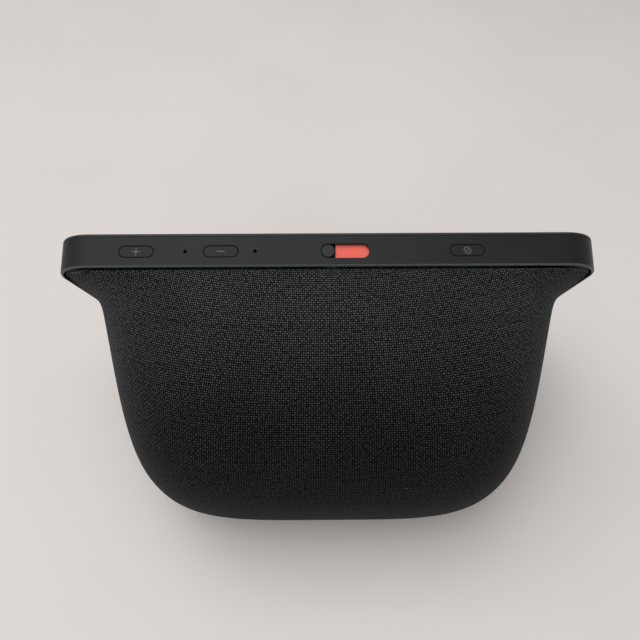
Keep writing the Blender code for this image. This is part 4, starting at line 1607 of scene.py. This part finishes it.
@dataclass
class Base:
    """Bottom tray with its screw seats, and the rubber foot that hides them."""

    body: FabricBody
    tray_levels: tuple[float, float] = (1.2 * MM, 2.7 * MM)
    tray_inset: float = 0.8 * MM
    foot_thickness: float = 0.9 * MM
    foot_inset: float = 2.4 * MM
    seat_radius: float = 2.4 * MM
    hole_radius: float = 1.4 * MM
    screws: tuple[tuple[float, float], ...] = (
        (54.5 * MM, -18 * MM), (-54.5 * MM, -18 * MM), (40 * MM, 18 * MM), (-40 * MM, 18 * MM))

    def plate(self, name: str, inset: float, bottom: float, top: float) -> bpy.types.Object:
        """Returns a flat plate in the base's outline.

        Args:
            name: The plate's name.
            inset: How far it stands inside the body's lower edge.
            bottom: Its lower level.
            top: Its upper level.

        Returns:
            The plate.
        """
        build = bmesh.new()
        build.faces.new([build.verts.new((x, y, bottom)) for x, y in self.body.outline(inset)])
        mesh = bpy.data.meshes.new(name)
        build.to_mesh(mesh)
        build.free()
        piece = bpy.data.objects.new(name, mesh)
        bpy.context.scene.collection.objects.link(piece)
        Bench.pick(piece, Part.FACE, EVERYTHING)
        bpy.ops.mesh.extrude_region_move(TRANSFORM_OT_translate={"value": (0, 0, top - bottom)})
        bpy.ops.mesh.select_all(action="SELECT")
        bpy.ops.mesh.normals_make_consistent(inside=False)
        Bench.close()
        return piece

    def tray(self) -> bpy.types.Object:
        """Builds the tray with softened rims and its screw seats.

        Returns:
            The tray.
        """
        bottom, top = self.tray_levels
        piece = self.plate("bottom_tray", self.tray_inset, bottom, top)
        Bench.soften(piece, 0.3 * MM, 3, 60)
        for number, (x, y) in enumerate(self.screws):
            Bench.work(piece, Bench.rod(f"seat_{number}", self.seat_radius, 2 * MM,
                                        (x, y, bottom + 0.05 * MM), Axis.Z, 32))
            Bench.work(piece, Bench.rod(f"hole_{number}", self.hole_radius, 6 * MM, (x, y, bottom),
                                        Axis.Z, 24))
        return Bench.done(piece)

    def foot(self) -> bpy.types.Object:
        """Builds the rubber foot: a raised border round a field that stands slightly back.

        Returns:
            The foot.
        """
        piece = self.plate("anti_slip_foot", self.foot_inset, 0, self.foot_thickness)
        Bench.sink(piece, lambda face: face.normal.z < -0.9, 2.2 * MM, 0)
        Bench.sink(piece, lambda face: face.normal.z < -0.9 and len(face.verts) > 8, 0.5 * MM, -0.25 * MM)
        Bench.soften(piece, 0.12 * MM, 2, 25)
        return Bench.done(piece)

    def build(self) -> None:
        """Models and dresses the tray and the foot."""
        tray = MouldedPlastic("tray_plastic", (0.026, 0.026, 0.028), 0.55, 0.35 * MM, 0.02 * MM)
        foot = SoftRubber("foot_rubber", (0.016, 0.016, 0.017), 0.5 * MM, 0.05 * MM)
        Bench.deliver(self.tray(), Body.DEVICE, tray.material(), "base_tray", ["base_tray"])
        Bench.deliver(self.foot(), Body.DEVICE, foot.material(), "rubber_foot", ["rubber_foot"])


@dataclass
class PowerInlet:
    """Round recessed surround of the power inlet, its rim trimmed to the leaning cloth."""

    level: float = 9.6 * MM
    radius: float = 5.2 * MM
    bore: float = 4.2 * MM
    eye: float = 3.1 * MM
    floor: float = 29.4 * MM
    wall: float = 1 * MM
    rim_slope: float = 0.62
    rim_reach: float = 8 * MM

    def build(self) -> None:
        """Models and dresses the surround."""
        end = self.floor + self.rim_reach
        middle = (0, (self.floor + end) / 2, self.level)
        piece = Bench.rod("inlet_ring", self.radius, end - self.floor, middle, Axis.Y, 72)
        Bench.work(piece, Bench.rod("recess", self.bore, self.rim_reach,
                                    (0, middle[1] + self.wall, self.level), Axis.Y, 72))
        Bench.work(piece, Bench.rod("eye", self.eye, 4 * self.wall, (0, self.floor, self.level), Axis.Y, 48))
        trim = Bench.block("trim", (20 * MM, 10 * MM, 30 * MM))
        trim.data.transform(Matrix.Translation((0, end + 2.2 * MM, self.level))
                            @ Matrix.Rotation(-math.atan(self.rim_slope), 4, "X"))
        Bench.work(piece, trim)
        Bench.soften(piece, 0.2 * MM, 3, 50)
        Bench.done(piece)
        look = MouldedPlastic("inlet_plastic", (0.03, 0.03, 0.032), 0.48)
        Bench.deliver(piece, Body.DEVICE, look.material(), "inlet_surround", ["inlet_surround"])


@dataclass
class InnerParts:
    """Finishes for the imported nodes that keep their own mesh."""

    module: ScreenModule

    def looks(self) -> dict[str, list[Any]]:
        """Sorts the inner pieces by finish.

        Returns:
            For each group its finish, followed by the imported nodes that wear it.
        """
        zinc = SheetMetal("zinc_plated_steel", (0.62, 0.62, 0.60), 0.3, 0.2 * MM)
        shields = SheetMetal("tinned_steel", (0.66, 0.67, 0.69), 0.28, 0.15 * MM)
        chassis = SheetMetal("pressed_steel", (0.50, 0.51, 0.53), 0.36)
        sink = SheetMetal("extruded_aluminium", (0.72, 0.73, 0.75), 0.34, 0.1 * MM, (1, 1, 22))
        gold = SheetMetal("plated_brass", (0.78, 0.62, 0.32), 0.24, 0.1 * MM, (1, 8, 1))
        ferrite = SheetMetal("plated_magnet", (0.09, 0.09, 0.095), 0.42, 0.3 * MM)
        return {
            "zinc": [zinc, *(f"{place}_screw_{number}" for place in ("base", "display")
                             for number in range(1, 5))],
            "tinned": [shields, "processor_shield", "radio_shield"],
            "pressed": [chassis, "display_chassis"],
            "aluminium": [sink, "heat_sink"],
            "brass": [gold, "power_jack_pin"],
            "microphones": [SheetMetal("black_nickel", (0.035, 0.035, 0.037), 0.5), "microphone_left",
                            "microphone_right"],
            "domes": [SheetMetal("dome_switch_steel", (0.58, 0.57, 0.52), 0.3), "volume_up_switch",
                      "volume_down_switch", "mute_switch"],
            "magnet": [ferrite, "speaker_magnet"],
            "boards": [CircuitBoard("solder_mask_green"), "main_board", "controls_board", "jack_board"],
            "housing": [MouldedPlastic("housing_plastic", (0.020, 0.020, 0.022), 0.6, 0.4 * MM, 0.03 * MM),
                        "rear_housing", "speaker_enclosure"],
            "basket": [MouldedPlastic("basket_plastic", (0.03, 0.03, 0.032), 0.5), "speaker_frame"],
            "black": [MouldedPlastic("black_nylon", (0.014, 0.014, 0.015), 0.42, 0.2 * MM), "power_jack",
                      "camera_module", "shutter_carrier"],
            "paper": [PressedPaper("cone_paper", (0.016, 0.016, 0.017)), "speaker_cone"],
            "cap": [PressedPaper("dust_cap_paper", (0.024, 0.024, 0.026)), "speaker_dust_cap"],
            "foam": [SoftRubber("gasket_foam", (0.022, 0.022, 0.022), 0.7 * MM, 0.12 * MM), "speaker_gasket"],
            "ribbon": [PrintedFilm("amber_ribbon_film"), "display_ribbon"],
            "antennas": [PrintedFilm("antenna_film", (0.22, 0.15, 0.04), (0.62, 0.42, 0.16), 3.2 * MM,
                                     (0, math.pi / 2, 0)), "antenna_left", "antenna_right"],
            "panel": [LayeredPanel("display_panel", (0.012, 0.013, 0.017), 0.18), "lcd_panel"],
            "backlight": [LayeredPanel("white_diffuser", (0.78, 0.78, 0.76), 0.4, 0.5 * MM),
                          "backlight_unit"],
            "lens": [CoatedLens("coated_lens", self.module.placement), "camera_lens"],
        }

    def build(self) -> None:
        """Gives every carried over node its finish."""
        for finish, *names in self.looks().values():
            look = finish.material()
            for name in names:
                node = frame["nodes"][name]
                for place in node.material_slots:
                    place.material = look
                LOG.info("%s: %s", name, look.name)


@dataclass
class Studio:
    """Pale table top, soft overhead light and the camera over the device's back."""

    camera_at: tuple[float, float, float] = (0.0, 90.5 * MM, 174.0 * MM)
    pitch: float = math.radians(38.2)
    yaw: float = math.radians(-0.28)
    roll: float = math.radians(-0.08)
    lens: float = 28.8
    shift: tuple[float, float] = (-0.0150, -0.0002)
    sky: float = 0.42
    below: float = 0.05 * MM
    table: tuple[float, float, float] = (0.755, 0.728, 0.71)

    def light(self, name: str, at: Sequence[float], size: Sequence[float], power: float,
              tint: Sequence[float] = (1, 1, 1)) -> None:
        """Hangs one soft box that faces the device.

        Args:
            name: The light's name.
            at: Its place.
            size: Its two sides.
            power: Its power in watts.
            tint: Its colour.
        """
        lamp = bpy.data.lights.new(name, "AREA")
        lamp.shape = "RECTANGLE"
        lamp.size, lamp.size_y = size
        lamp.energy = power
        lamp.color = tint
        piece = bpy.data.objects.new(name, lamp)
        bpy.context.scene.collection.objects.link(piece)
        piece.location = at
        piece.rotation_euler = (Vector((0, 0, 40 * MM)) - Vector(at)).to_track_quat("-Z", "Y").to_euler()

    def floor(self) -> None:
        """Lays the table top, with faint clouds of a warmer tone in its finish."""
        Bench.clear()
        bpy.ops.mesh.primitive_plane_add(size=6, location=(0, 0, -self.below))
        top = Bench.named("table_top")
        recipe = Recipe("pale_table")
        where = recipe.place()
        clouds = recipe.noise(where, 120 * MM, 2)
        grain = recipe.noise(where, 0.8 * MM, 3)
        warm = tuple(channel * factor for channel, factor in zip(self.table, (0.995, 0.968, 0.955)))
        recipe.set(base_color=recipe.mix(recipe.spread(clouds, 0.35, 0.65), self.table, warm),
                   roughness=recipe.spread(grain, 0.3, 0.7, 0.55, 0.65), specular_ior_level=0.3)
        recipe.relief(grain, 0.01 * MM, 0.4)
        top.data.materials.append(recipe.material)

    def camera(self) -> None:
        """Stands the camera behind and above the device."""
        data = bpy.data.cameras.new("camera")
        data.lens = self.lens
        data.sensor_width = 36
        data.shift_x, data.shift_y = self.shift
        data.clip_start = 5 * MM
        piece = bpy.data.objects.new("camera", data)
        bpy.context.scene.collection.objects.link(piece)
        turn = Matrix.Rotation(math.pi + self.yaw, 4, "Z") @ Matrix.Rotation(self.pitch, 4, "X") \
            @ Matrix.Rotation(self.roll, 4, "Z")
        piece.location = self.camera_at
        piece.rotation_euler = turn.to_euler()
        bpy.context.scene.camera = piece

    def build(self) -> None:
        """Sets up the floor, the lights and the camera."""
        self.floor()
        world = bpy.data.worlds.new("soft_room")
        world.use_nodes = True
        backdrop = world.node_tree.nodes["Background"]
        backdrop.inputs["Color"].default_value = (1.0, 0.99, 0.98, 1)
        backdrop.inputs["Strength"].default_value = self.sky
        bpy.context.scene.world = world
        bpy.context.scene.view_settings.view_transform = "Standard"
        self.light("overhead", (0.24, 0.02, 0.95), (1.2, 0.9), 6.8)
        self.light("rear_window", (0.0, 1.0, 0.8), (1.2, 0.35), 0.9)
        self.camera()


def main() -> None:
    """Builds every sub-assembly in order."""
    logging.basicConfig(level=logging.INFO, format="%(message)s")
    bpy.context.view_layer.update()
    module = ScreenModule()
    shell = ScreenFrame(module)
    body = FabricBody(module)
    for assembly in (Studio(), shell, CoverGlass(module), TopButtons(module, shell),
                     CameraShutter(module, shell), body, Base(body), PowerInlet(), InnerParts(module)):
        LOG.info("building %s", type(assembly).__name__)
        assembly.build()


if __name__ == "__main__":
    main()
